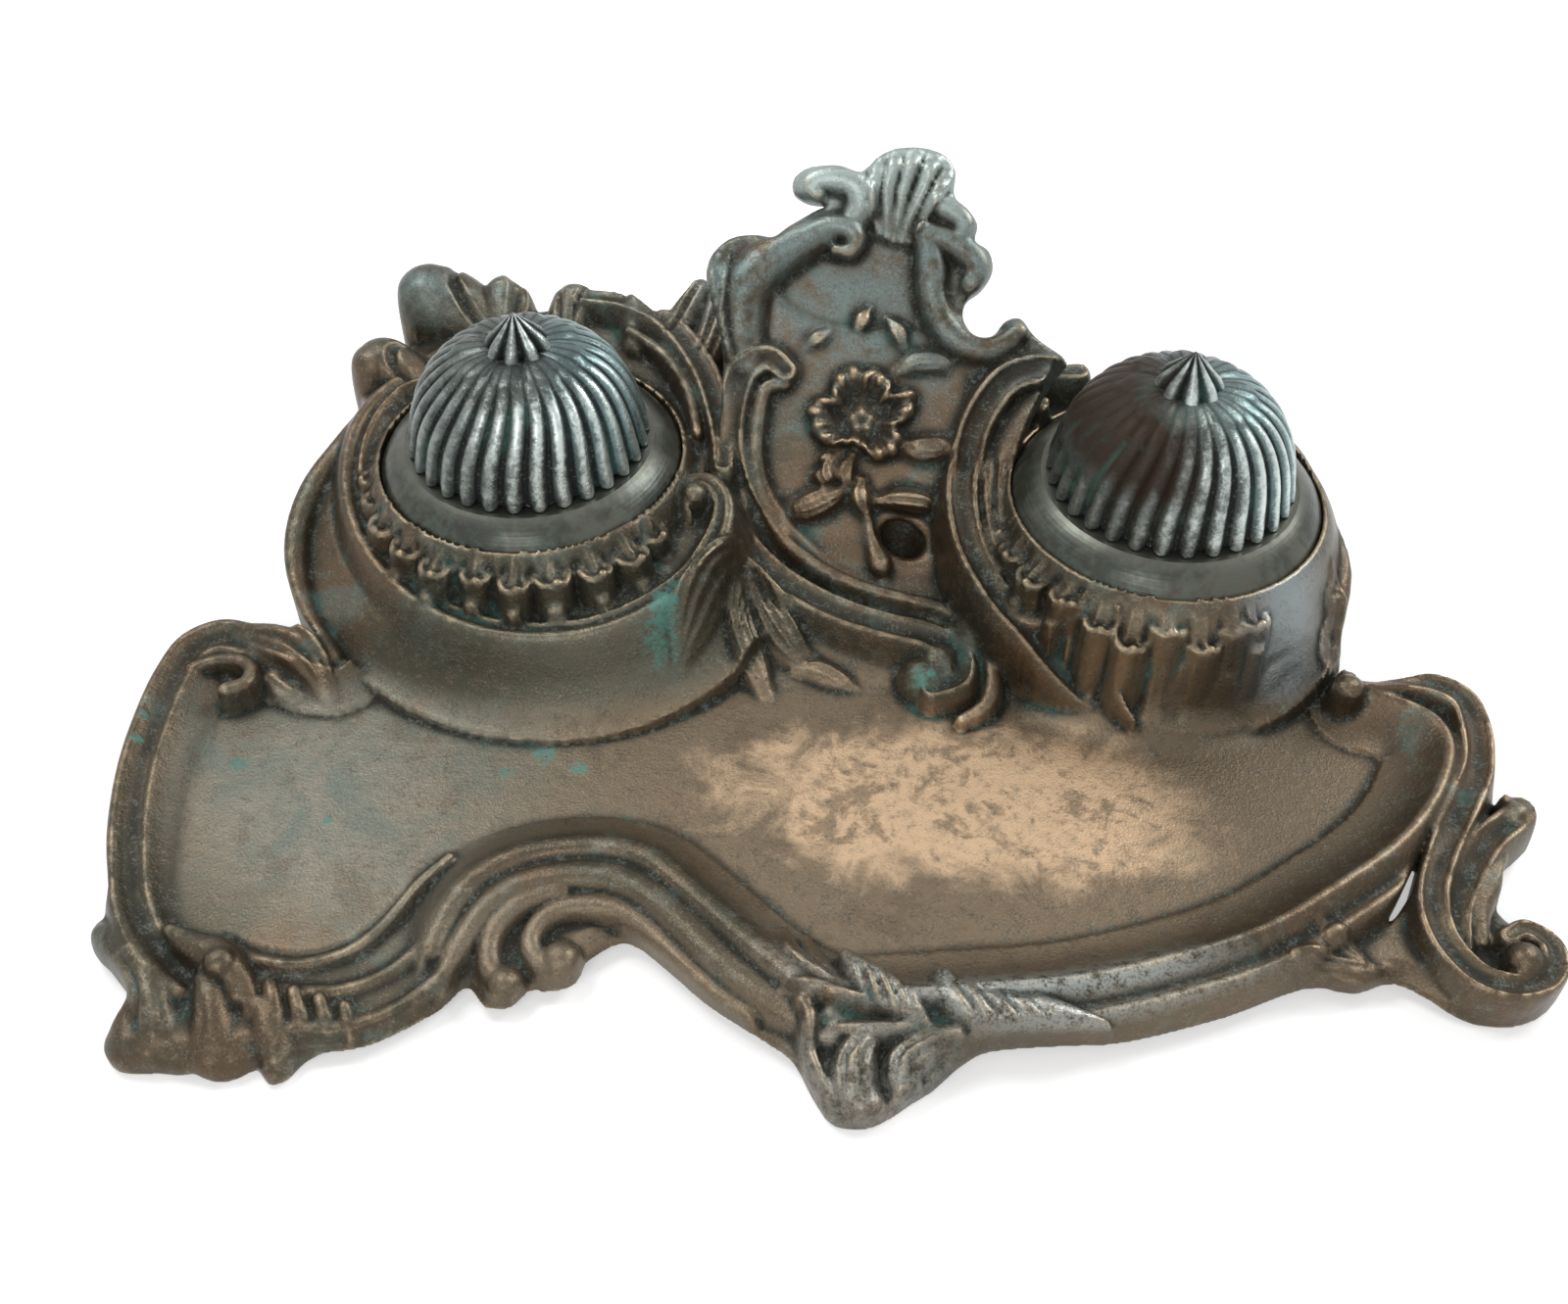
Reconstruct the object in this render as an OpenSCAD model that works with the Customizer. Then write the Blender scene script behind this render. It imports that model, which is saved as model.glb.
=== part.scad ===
// Desk inkstand: a cast pen tray on scroll feet with a leaning crest,
// two ink wells, each with a turned collar, a glass cup and a hinged ribbed lid.
// Millimetres. +X to the right, +Y to the back, +Z up, z = 0 on the table.

/* [Stand] */
// Length of the stand from the left lobe to the right scroll
stand_length = 334; // [326:1:342]
// Depth of the stand from the front foot to the rear leaves
stand_depth = 236; // [230:1:242]
// Thickness of the cast shell
shell_wall = 3.4; // [2.8:0.2:4]
// Height of the pen pan's floor
pan_floor = 8; // [7:0.5:10]
// Height of the skirt's lower edge between the feet
foot_height = 3; // [2:0.5:4]
// Radius of the moulding round the pan
rim_radius = 4.2; // [3.6:0.2:5]

/* [Wells] */
// Distance between the centres of the two wells
well_spacing = 160; // [156:1:164]
// Distance of the wells behind the middle of the stand
well_y = 45; // [43:1:47]
// Height of the sloping platform at the wells
platform_height = 32; // [30:0.5:33]
// Rise of the platform towards the back, per unit of depth
platform_rise = 0.21; // [0.18:0.01:0.23]
// Radius of the scroll ring round the left well
left_ring_radius = 53; // [51:0.5:54]
// Radius of the scroll ring round the right well
right_ring_radius = 47; // [46:0.5:49]

/* [Crest] */
// Lean of the crest above the horizontal, in degrees
crest_lean = 45; // [43:0.5:46]
// Thickness of the crest plate
crest_plate = 4.5; // [4:0.5:6]

/* [Collars] */
// Outer radius of a collar
collar_radius = 38; // [37.5:0.25:39]
// Height of a collar's top face
collar_top = 45.7; // [45:0.1:47]
// Height of the seat that carries a collar
collar_seat = 32; // [31:0.5:33]
// Wall of a collar
collar_wall = 2.5; // [2:0.25:3]

/* [Ink cups] */
// Outer radius of a glass cup
cup_radius = 24; // [22:0.5:25]
// Height of a glass cup
cup_height = 34; // [28:1:37]
// Wall of a glass cup
cup_wall = 2.6; // [2:0.2:3.4]
// Overhang of the cup's rim
cup_rim_overhang = 3; // [2.5:0.25:3.5]
// Thickness of the cup's rim
cup_rim_thick = 3; // [2:0.25:3.5]

/* [Lids] */
// Radius of a lid at its rim
lid_radius = 30.5; // [30:0.25:31.5]
// Height of a lid's dome without its knop
lid_height = 27; // [24:0.5:30]
// Wall of a lid
lid_wall = 2; // [1.6:0.2:2.6]
// Number of ribs on a lid
rib_count = 30; // [24:2:34]
// Depth of the flutes between the ribs
rib_depth = 1.1; // [0.6:0.1:1.4]
// Turn of each rib from the knop to the rim, in degrees
rib_turn = 22; // [0:1:40]
// Radius of a knop
knop_radius = 8; // [7:0.25:9]
// Height of a knop
knop_height = 10; // [8:0.5:12]
// Number of lobes on a knop
knop_lobes = 8; // [6:1:10]

/* [Hinges] */
// Radius of a hinge pin
pin_radius = 1.1; // [0.9:0.1:1.3]
// Outer radius of a hinge knuckle
knuckle_radius = 2.6; // [2.4:0.1:2.8]
// Length of the whole hinge
hinge_length = 20; // [18:1:24]
// Length of the middle knuckle
middle_knuckle = 8; // [6:0.5:10]
// Thickness of a lid's hinge leaf
leaf_thick = 1.2; // [1:0.1:1.3]

/* [Fasteners] */
// Radius of a collar screw's shank
screw_radius = 1.5; // [1.2:0.1:1.8]
// Number of screws that hold a collar
screw_count = 3; // [3:1:5]

/* [Hidden] */
$fn = 96;

left = -1;
right = 1;
bronze = "#5b4a3a";
collar_bronze = "#6b563f";
lid_bronze = "#4f4a44";
knop_bronze = "#6b5a45";
brass = "#8a6b45";
steel = "#8d8d8d";
glass = "#c8d6d2";

drawn_length = 334;
drawn_depth = 236;
slack = 0.3;
pin_slack = 0.05;
cut = 1;

// Places on the stand are drawn at its usual size and stretch with its length and depth.
function place(p) = [p[0] * stand_length / drawn_length, p[1] * stand_depth / drawn_depth];
function well_x(side) = side * well_spacing / 2;
function clamp01(t) = max(0, min(1, t));
function ease(t) = let (u = clamp01(t)) u * u * (3 - 2 * u);

// A point on the curve through a, b, c and d, at share t of the way from b to c.
function curve_point(a, b, c, d, t) =
    0.5 * (2 * b + (c - a) * t + (2 * a - 5 * b + 4 * c - d) * t * t
        + (3 * b - a - 3 * c + d) * t * t * t);
function open_curve(p, steps) = let (n = len(p) - 1)
    [for (i = [0 : n - 1], k = [0 : steps - 1])
        curve_point(p[max(i - 1, 0)], p[i], p[i + 1], p[min(i + 2, n)], k / steps), p[n]];
function closed_curve(p, steps) = let (n = len(p))
    [for (i = [0 : n - 1], k = [0 : steps - 1])
        curve_point(p[(i + n - 1) % n], p[i], p[(i + 1) % n], p[(i + 2) % n], k / steps)];

// ---- The surface of the casting ----

slope_width = 12;
outer_fall = 0.5;
centre_left = -30;
centre_right = 36;
centre_blend = 9;
crest_foot = [30, 18];
centre_rise = 0.45;

// The line along which the pan's floor meets the slope to the wells.
function back_line(x) = lookup(x, [[-200, -14], [-105, -18], [-85, -21], [-66, -19], [-48, -11],
    [-35, -3], [0, 0], [40, 0], [80, -5], [104, 1], [123, 7], [200, 7]]);
function ring_radius(side) = side < 0 ? left_ring_radius : right_ring_radius;
function outside_ring(x, y) = let (side = x < 0 ? left : right)
    max(0, norm([x - well_x(side), y - well_y]) - ring_radius(side));
function platform_z(x, y) = max(pan_floor, platform_height + platform_rise * (y - well_y)
    - outer_fall * (abs(x) > well_spacing / 2 ? outside_ring(x, y) : 0));
function centre_z(y) = max(crest_foot[1] + (y - crest_foot[0]) * tan(crest_lean),
    pan_floor + centre_rise * y);
function upper_z(x, y) =
    let (share = ease((x - centre_left) / centre_blend) * ease((centre_right - x) / centre_blend))
    platform_z(x, y) * (1 - share) + centre_z(y) * share;
function surface_z(x, y) = let (s = ease((y - back_line(x)) / slope_width))
    pan_floor + s * (upper_z(x, y) - pan_floor);

surface_grid = 14.5;

// A closed solid under the surface, lowered by drop, on a grid of squares.
module under_surface(drop, floor_z) {
    grid = surface_grid;
    nx = ceil((stand_length + 4 * grid) / grid);
    ny = ceil((stand_depth + 4 * grid) / grid);
    xs = [for (i = [0 : nx - 1]) (i - (nx - 1) / 2) * grid];
    ys = [for (j = [0 : ny - 1]) (j - (ny - 1) / 2) * grid];
    top = [for (x = xs, y = ys) [x, y, surface_z(x, y) - drop]];
    bottom = [for (x = xs, y = ys) [x, y, floor_z]];
    n = nx * ny;
    function at(i, j) = i * ny + j;
    upper = [for (i = [0 : nx - 2], j = [0 : ny - 2])
        each [[at(i, j), at(i, j + 1), at(i + 1, j)], [at(i + 1, j), at(i, j + 1), at(i + 1, j + 1)]]];
    lower = [for (f = upper) [f[2] + n, f[1] + n, f[0] + n]];
    front_back = [for (i = [0 : nx - 2]) each
        [[at(i, 0), at(i + 1, 0), at(i + 1, 0) + n, at(i, 0) + n],
            [at(i + 1, ny - 1), at(i, ny - 1), at(i, ny - 1) + n, at(i + 1, ny - 1) + n]]];
    ends = [for (j = [0 : ny - 2]) each
        [[at(0, j + 1), at(0, j), at(0, j) + n, at(0, j + 1) + n],
            [at(nx - 1, j), at(nx - 1, j + 1), at(nx - 1, j + 1) + n, at(nx - 1, j) + n]]];
    polyhedron(concat(top, bottom), concat(upper, lower, front_back, ends));
}

// The outline of the skirt: the left lobe, the front with its arch, the right scroll,
// then round the back of the wells.
outline_points = [
    [-122, -5], [-142, 1], [-153, 3], [-161, -3], [-165.3, -22], [-158, -67],
    [-151, -84], [-146, -98], [-138, -108], [-124, -112], [-94, -109], [-78, -100],
    [-70, -90], [-56, -86], [-48, -83], [-38, -77], [-28, -82], [-6, -97],
    [6, -105], [18, -109], [32, -102], [46, -95], [70, -90], [91, -82], [109, -73], [122, -70],
    [137, -74], [150, -77], [161, -73], [165.3, -62], [158, -50], [156, -41], [160, -30],
    [158, -12], [158, 6], [150, 12], [139, 10], [127, 8], [124, 18], [127, 34], [122, 56], [110, 74],
    [94, 85], [78, 89], [60, 88], [42, 82], [20, 76], [-5, 76], [-33, 94], [-52, 103], [-78, 105],
    [-104, 105], [-124, 95], [-133, 72], [-140, 47], [-142, 27], [-136, 8]];

module outline() {
    polygon([for (p = closed_curve(outline_points, 2)) place(p)]);
}

module shell() {
    skirt_top = 110;
    difference() {
        intersection() {
            translate([0, 0, foot_height]) linear_extrude(skirt_top) outline();
            under_surface(0, -cut);
        }
        intersection() {
            translate([0, 0, -cut]) linear_extrude(skirt_top) offset(delta = -shell_wall) outline();
            under_surface(shell_wall, -3 * cut);
        }
    }
}

// ---- Mouldings and scrolls: bars that follow a path on the surface ----

bar_sides = 5;

// A solid bar through places [x, y, z] with the radii given, made taller by squat.
module bar(places, radii, squat) {
    n = len(places);
    rings = [for (i = [0 : n - 1])
        let (along = places[min(i + 1, n - 1)] - places[max(i - 1, 0)],
            side = [along[1], -along[0], 0] / norm([along[0], along[1]]))
        each [for (k = [0 : bar_sides - 1]) let (a = (k + 0.5) * 360 / bar_sides)
            places[i] + side * radii[i] * cos(a) + [0, 0, squat * radii[i] * sin(a)]]];
    function at(i, k) = i * bar_sides + k % bar_sides;
    walls = [for (i = [0 : n - 2], k = [0 : bar_sides - 1])
        [at(i, k), at(i, k + 1), at(i + 1, k + 1), at(i + 1, k)]];
    ends = [[for (k = [bar_sides - 1 : -1 : 0]) at(0, k)], [for (k = [0 : bar_sides - 1]) at(n - 1, k)]];
    polyhedron(rings, concat(walls, ends));
}

// A moulding that lies on the surface. Each point is [x, y, radius].
module moulding(points, lift = 0, squat = 1, steps = 2) {
    c = open_curve(points, steps);
    bar([for (p = c) let (q = place(p)) [q[0], q[1], surface_z(q[0], q[1]) + lift]],
        [for (p = c) p[2]], squat);
}

// The section of a ring round a well, as places outward of its crest and above it: a lip at
// the inside, a round crest, and a wall that falls steeply to the pan.
function ring_section(size, fall) = [[-1.3 * size, -0.75 * fall], [-1.2 * size, -0.8 * size],
    [-0.3 * size, 0], [0.8 * size, -0.5 * size], [1.4 * size, -0.45 * fall], [2.1 * size, -fall]];

// A ring wall. Each point is [x, y, height of its crest above the platform, size, fall].
module ring_wall(points, outward) {
    c = open_curve(points, 2);
    n = len(c);
    m = 6;
    places = [for (p = c) let (q = place(p))
        [q[0], q[1], platform_height + platform_rise * (q[1] - well_y) + p[2]]];
    stations = [for (i = [0 : n - 1])
        let (along = places[min(i + 1, n - 1)] - places[max(i - 1, 0)],
            side = outward * [along[1], -along[0], 0] / norm([along[0], along[1]]))
        each [for (s = ring_section(c[i][3], c[i][4])) places[i] + side * s[0] + [0, 0, s[1]]]];
    function at(i, k) = i * m + k % m;
    walls = [for (i = [0 : n - 2], k = [0 : m - 1]) each outward < 0
        ? [[at(i, k), at(i, k + 1), at(i + 1, k + 1)], [at(i, k), at(i + 1, k + 1), at(i + 1, k)]]
        : [[at(i, k), at(i + 1, k + 1), at(i, k + 1)], [at(i, k), at(i + 1, k), at(i + 1, k + 1)]]];
    start = [for (k = [0 : m - 1]) at(0, outward < 0 ? m - 1 - k : k)];
    end = [for (k = [0 : m - 1]) at(n - 1, outward < 0 ? k : m - 1 - k)];
    polyhedron(stations, concat(walls, [start, end]));
}

rim_lift = 3.2;

module pan_rim() {
    r = rim_radius;
    // From the left volute round the left lobe.
    moulding([[-146, -15, r], [-137, -9, r], [-145, -3, r], [-157, -3, r], [-162, -13, r], [-162, -30, r],
        [-158, -54, r], [-150, -78, r], [-141, -92, r], [-130, -98, 0.8 * r]], rim_lift, 1.2);
    moulding([[-148, -4, r], [-136, -7, 1.2 * r], [-124, -12, 1.2 * r]], 0, 1.2);
    // The lip along the wall of the left well.
    moulding([[-127, 62, 0.7 * r], [-134, 50, 0.8 * r], [-138, 37, 0.8 * r], [-138.5, 24, 0.9 * r],
        [-134, 9, 0.9 * r], [-127, -3, 0.8 * r]], 2, 1, 1);
    // A low bead along the front of the lobe, then the arch and the long sweep to the right.
    moulding([[-122, -102, 0.6 * r], [-104, -104, 0.6 * r], [-88, -100, 0.6 * r], [-78, -88, 0.6 * r]],
        0, 1, 1);
    moulding([[-78, -84, 0.8 * r], [-73, -69, r], [-62, -60.5, r], [-48, -57.5, r], [-36, -59.5, r],
        [-24, -68.5, r], [-12, -78.5, r], [-1, -86.5, r], [10, -91, r], [24, -90.5, r], [38, -88, r],
        [59, -83.5, r], [79, -76.5, r], [99, -67, r], [117, -53.5, r], [131.5, -40, r], [142, -25.5, r],
        [147, -11, r], [145, -1, r], [138, 2, 0.8 * r]], rim_lift, 1.2);
    // Outer bar and bead of the arch.
    moulding([[-74, -92, 0.8 * r], [-70, -76, r], [-61, -67.5, r], [-48, -65, r], [-37, -67.5, r],
        [-26, -75.5, r], [-16, -84.5, r], [-5, -92, r]], 1.6, 1.2);
    moulding([[-62, -86, 0.8 * r], [-62, -77, 0.8 * r], [-48, -71, 0.8 * r], [-34, -77, 0.8 * r]], 0, 1, 1);
}

// The three-cornered hole between the pan's rim and the right scroll.
module pierce_rim() {
    corners = [[139, -34], [133, -50], [127, -57]];
    translate([0, 0, -cut]) linear_extrude(3 * pan_floor) polygon([for (p = corners) place(p)]);
}

module right_bands() {
    r = rim_radius;
    moulding([[126, 6, r], [140, 7, r], [151, 8, r], [154, 0, r], [153, -14, r], [147, -28, r],
        [139, -42, r], [136, -56, r], [141, -68, r], [152, -73, r], [160, -68, r], [161, -60, r]],
        rim_lift + 1, 1.3);
    moulding([[141, -62, r], [143, -50, r], [149, -38, r], [156, -31, r], [161, -27, 0.9 * r]], 2, 1.2);
}

module well_rings() {
    // Left: from the hook at the right, round the front and up the left side.
    ring_wall([[-39.5, 35, 10.5, 2.4, 15], [-38, 39.5, 9.5, 2.6, 15], [-33.5, 38, 9.3, 3, 15],
        [-31.5, 29, 9.5, 3.2, 16], [-31, 18, 9, 3.4, 18], [-36, 6, 7.5, 3.8, 19], [-47, -3.5, 6.5, 4, 19],
        [-62, -8, 6, 4, 18], [-81, -7.5, 6, 4, 18], [-101, 0.5, 6.2, 4, 17], [-117, 15, 6.2, 4, 14],
        [-127, 35, 5.5, 4, 11], [-129, 53, 4.8, 3.6, 10], [-125, 66, 5, 3.2, 9]], -1);
    // Behind the left well, down beside the crest.
    ring_wall([[-78, 101, 4.8, 2.4, 8], [-64, 98, 6.4, 3, 9], [-51, 90, 7.6, 3.4, 11],
        [-40, 77, 8.3, 3.6, 12], [-33.5, 60, 8.3, 3.2, 12], [-31, 46, 7.8, 2.4, 12]], -1);
    // Right: from behind the crest round the front and up the right side.
    ring_wall([[57, 81, 9, 3, 12], [48, 79, 8.4, 3.6, 12], [38, 72, 7.6, 4, 11], [31.5, 60, 7.3, 4, 11],
        [29.5, 44, 7.2, 4, 13], [32.5, 28, 6.6, 4, 17], [41, 14, 5.5, 4, 19], [53, 6.5, 4.6, 3.6, 19],
        [68, 3.5, 4.2, 3.2, 20], [86, 4, 4.1, 3.2, 20], [102, 10, 4.3, 3.4, 17], [113, 22, 4.3, 3.6, 13],
        [118.5, 37, 5.2, 3.6, 11], [118, 52, 6, 3.4, 10], [111, 66, 6.6, 2.8, 10],
        [100, 77, 7, 2.4, 9]], 1);
}

// The foot of the cartouche: a C-scroll with an inner ridge, and its broad volute over the pan.
module centre_scrolls() {
    moulding([[-28, 42, 4], [-25, 34, 4.2], [-18, 26.5, 4.5], [-8, 20.5, 4.5], [3, 16.5, 4.5],
        [14, 14.5, 4.5], [24, 13, 4.5], [31, 8.5, 4.5], [31.5, 2, 4.5], [26, -1.5, 4]], 0.6, 1.1);
    moulding([[-19, 40, 2.6], [-13, 33.5, 3], [-4, 28, 3], [6, 24, 3], [16, 22, 3], [27, 20.5, 3],
        [36, 15, 3.4], [40, 5, 3.4], [38, -5, 3]], 0.6, 1, 1);
    lobe([23, 5, 9], [26, 3, 10], 5.5, 5);
}

// ---- Feet, lobes and leaves: rounded clusters ----

lobe_facets = 6;

// A leaf lobe from a to b, each [x, y, z], with radius ra at a and rb at b.
module lobe(a, b, ra, rb) {
    pa = place(a);
    pb = place(b);
    hull() {
        translate([pa[0], pa[1], a[2]]) sphere(ra, $fn = lobe_facets);
        translate([pb[0], pb[1], b[2]]) sphere(rb, $fn = lobe_facets);
    }
}

// Feet that reach the table. Each is [x, y, radius].
foot_places = [[-134, -104, 6.5], [-106, -105, 5.5], [19, -100, 6.5], [151, -66, 6.5], [-122, 91.5, 6.5],
    [99, 77, 6.5]];

module feet() {
    for (f = foot_places) translate([place(f)[0], place(f)[1], 0])
        cylinder(h = foot_height + 5, r = f[2], $fn = 12);
    // Acanthus foot at the left.
    lobe([-143, -92, 9], [-149, -87, 9], 6, 6);
    lobe([-134, -100, 12], [-140, -109, 6], 6, 5.5);
    lobe([-124, -100, 12], [-127, -111, 6], 6, 5.5);
    lobe([-112, -101, 12], [-112, -111, 6], 5.5, 5);
    lobe([-120, -96, 17], [-98, -104, 10], 4, 4);
    // Shell foot in the middle.
    lobe([18, -98, 11], [14, -111, 7], 5.5, 6.5);
    lobe([24, -96, 11], [26, -106, 7], 5, 5.5);
    lobe([26, -90, 15], [48, -90, 11], 4, 3.5);
    // Volute at the front arch.
    lobe([-64, -84, 11], [-65, -89, 8], 5, 4.5);
    // Small leaf on the right.
    lobe([112, -70, 11], [126, -68, 11], 4.5, 3.5);
}

// Balls at the eyes of the scrolls. Each is [x, y, z, radius].
eye_places = [[-144, -18, 14, 4], [153, -66, 13, 5], [158, -36, 12, 4.5], [-57, -83, 10, 4]];

module scroll_eyes() {
    for (e = eye_places) translate([place(e)[0], place(e)[1], e[2]]) sphere(e[3], $fn = lobe_facets);
}

module rear_leaves() {
    lobe([-108, 88, 38], [-123, 105, 52], 6, 6);
    lobe([-122, 76, 34], [-131, 82, 42], 5, 5);
    lobe([-100, 94, 42], [-104, 107, 50], 5, 5);
    lobe([-82, 97, 42], [-84, 107, 48], 4.5, 4.5);
    lobe([-56, 90, 42], [-52, 98, 48], 5, 4);
    lobe([-28, 80, 48], [-35, 113, 58], 5, 5);
}

// ---- The crest: a pierced plate that leans back, with its scrolls ----

// From across and up the plate to the stand's frame.
module on_crest(lift = 0) {
    translate([0, crest_foot[0], crest_foot[1]]) rotate([crest_lean, 0, 0]) translate([0, 0, lift])
        children();
}

crest_outline = [
    [-20, 20], [-26, 40], [-29, 60], [-35, 70], [-36, 82], [-26, 86], [-19, 87], [-10, 95], [-16, 96],
    [-17, 101], [-8, 104], [1, 102], [6, 109], [14, 111], [20, 108], [22, 97], [27, 93],
    [28, 86], [33, 82], [31, 74], [27, 68], [35, 63], [40, 68], [46, 61], [53, 58], [55, 52], [50, 44],
    [40, 30], [30, 18]];

module crest_plate_shape() {
    polygon([for (p = closed_curve(crest_outline, 2)) [place(p)[0], p[1]]]);
}

// Holes through the plate beside the flower's leaves. Each is [across, up, radius].
piercings = [[17, 14, 3], [-12, 26, 2.2], [26, 30, 2]];

module crest() {
    on_crest(1 - crest_plate) linear_extrude(crest_plate) crest_plate_shape();
}

module pierce_crest() {
    deep = 40;
    for (p = piercings)
        on_crest(-deep / 2) translate([place(p)[0], p[1], 0]) cylinder(h = deep, r = p[2], $fn = 8);
}

// A scroll on the crest. Each point is [across, up, radius].
module crest_bar(points, lift = 1) {
    c = open_curve(points, 2);
    on_crest(lift) bar([for (p = c) [place(p)[0], p[1], 0]], [for (p = c) p[2]], 1);
}

petals = 5;
flower_place = [1, 39];

module crest_scrolls() {
    crest_bar([[-22, 52, 4], [-26, 66, 4], [-20, 80, 4], [-10, 88, 4], [0, 92, 3.5], [3, 84, 3]]);
    crest_bar([[-14, 99, 3.5], [-6, 98, 3.5], [2, 93, 3], [6, 84, 3]]);
    for (rib = [-1 : 1])
        crest_bar([[9, 88, 2], [10 + 3 * rib, 97, 2.5], [12 + 6 * rib, 107 - 2 * abs(rib), 2.8]]);
    crest_bar([[24, 86, 4], [28, 78, 4], [24, 70, 4], [24, 60, 4], [32, 56, 4], [40, 62, 3.5],
        [48, 58, 3.5], [50, 50, 3]]);
    // The flower.
    for (petal = [0 : petals - 1]) on_crest(2) translate([place(flower_place)[0], flower_place[1], 0])
        rotate(petal * 360 / petals + 18) hull() {
            translate([3, 0, 0]) sphere(2.2, $fn = lobe_facets);
            translate([8, 0, 1]) sphere(3, $fn = lobe_facets);
        }
}

// ---- Wells in the casting ----

frieze_foot = 49;
frieze_top = 40.5;
frieze_drop = 14;
frieze_leaves = 18;
frieze_depth = 1.2;
sleeve_wall = 3.5;
seat_thick = 3;
seat_bore = cup_radius + 2.5;
screw_ring = collar_radius - 5;

// A cone with a ruffle of leaves, wider at its foot.
module frieze_cone(foot_r, top_r) {
    n = 2 * frieze_leaves;
    levels = [[foot_r, 0, 1], [foot_r * 0.6 + top_r * 0.4, 0.55, 1], [top_r, 1, 0]];
    rings = [for (v = levels) each [for (k = [0 : n - 1])
        let (r = v[0] + frieze_depth * v[2] * (k % 2 == 0 ? 1 : -1))
        [r * cos(k * 360 / n), r * sin(k * 360 / n), v[1] * frieze_drop]]];
    function at(i, k) = i * n + k % n;
    walls = [for (i = [0 : len(levels) - 2], k = [0 : n - 1])
        each [[at(i, k), at(i + 1, k), at(i + 1, k + 1)], [at(i, k), at(i + 1, k + 1), at(i, k + 1)]]];
    low = len(rings);
    caps = [for (k = [0 : n - 1]) each
        [[low, at(0, k), at(0, k + 1)], [low + 1, at(len(levels) - 1, k + 1), at(len(levels) - 1, k)]]];
    polyhedron(concat(rings, [[0, 0, 0], [0, 0, frieze_drop]]), concat(walls, caps));
}

module well_sleeve(side) {
    foot_r = side < 0 ? frieze_foot : frieze_foot - 3;
    translate([well_x(side), well_y, 0]) {
        translate([0, 0, frieze_top - frieze_drop]) frieze_cone(foot_r, collar_radius + 1.6);
        translate([0, 0, collar_seat - seat_thick])
            cylinder(h = frieze_top - collar_seat + seat_thick, r = collar_radius + 1.5, $fn = 36);
    }
}

// Room for the collar, the cup and the screws.
module well_hollow(side) {
    tall = 60;
    translate([well_x(side), well_y, 0]) {
        translate([0, 0, collar_seat]) cylinder(h = tall, r = collar_radius + slack, $fn = 36);
        cylinder(h = tall, r = seat_bore, $fn = 36);
        translate([0, 0, -cut])
            cylinder(h = collar_seat - seat_thick + cut, r = collar_radius + 1.5 - sleeve_wall + 2, $fn = 36);
        for (k = [0 : screw_count - 1]) rotate(k * 360 / screw_count + 30)
            translate([screw_ring, 0, 0]) cylinder(h = tall, r = screw_radius + slack, $fn = 12);
    }
}

module tray_casting() {
    color(bronze) difference() {
        union() {
            shell();
            pan_rim();
            right_bands();
            well_rings();
            centre_scrolls();
            feet();
            scroll_eyes();
            rear_leaves();
            crest();
            crest_scrolls();
            well_sleeve(left);
            well_sleeve(right);
        }
        well_hollow(left);
        well_hollow(right);
        pierce_crest();
        pierce_rim();
    }
}

// ---- Collars: turned rings that carry the cups ----

lid_gap = 0.3;
lid_z = collar_top + lid_gap;
lid_inside = lid_radius - lid_wall;
lip_radius = lid_radius + 1;
flare_height = 6.2;
rim_seat = cup_radius + cup_rim_overhang + slack;
cup_bore = cup_radius + 0.5;
hinge_y = lid_radius + 3.5;
hinge_z = collar_top + 1.3;
knuckle_gap = 0.15;
notch_z = hinge_z - knuckle_radius - slack;
post_radius = screw_radius + 2.2;
post_lift = 0.4;
thread_length = 5;
web_z = collar_top - cup_rim_thick - collar_wall;

// Half the section of a collar, from the axis outwards.
module collar_section() {
    flare = [for (i = [0 : 8]) let (a = i * 90 / 8, round = 0.35)
        [collar_radius - (collar_radius - lip_radius) * ((1 - round) * i / 8 + round * (1 - cos(a))),
            collar_top - flare_height + flare_height * ((1 - round) * i / 8 + round * sin(a))]];
    polygon(concat([[collar_radius, collar_seat]], flare,
        [[rim_seat, collar_top], [rim_seat, collar_top - cup_rim_thick],
            [cup_bore, collar_top - cup_rim_thick], [cup_bore, collar_top - 8],
            [cup_bore + 2, collar_top - 8], [cup_bore + 2, web_z],
            [collar_radius - collar_wall - 5, web_z],
            [collar_radius - collar_wall, web_z - 4], [collar_radius - collar_wall, collar_seat]]));
}

// From a screw's place to the collar's frame.
module at_screws() {
    for (k = [0 : screw_count - 1]) rotate(k * 360 / screw_count + 30) translate([screw_ring, 0, 0])
        children();
}

module collar() {
    difference() {
        union() {
            rotate_extrude() collar_section();
            // Posts for the screws, from just over the seat up into the web.
            at_screws() translate([0, 0, collar_seat + post_lift])
                cylinder(h = web_z + 0.5 - collar_seat - post_lift, r = post_radius);
        }
        at_screws() translate([0, 0, collar_seat - cut])
            cylinder(h = thread_length + 1 + cut, r = screw_radius + pin_slack);
        // Room for the lid's leaf and knuckles.
        translate([-hinge_length / 2 - slack, cup_radius, notch_z])
            cube([hinge_length + 2 * slack, collar_radius, 2 * knuckle_radius]);
        // Seat of the bracket.
        translate([-middle_knuckle / 2, hinge_y - bracket_half, bracket_z])
            cube([middle_knuckle, collar_radius, 2 * knuckle_radius + 5]);
    }
}

bracket_half = 2.1;
bracket_z = collar_top - 4.5;

// ---- Hinges ----

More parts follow.
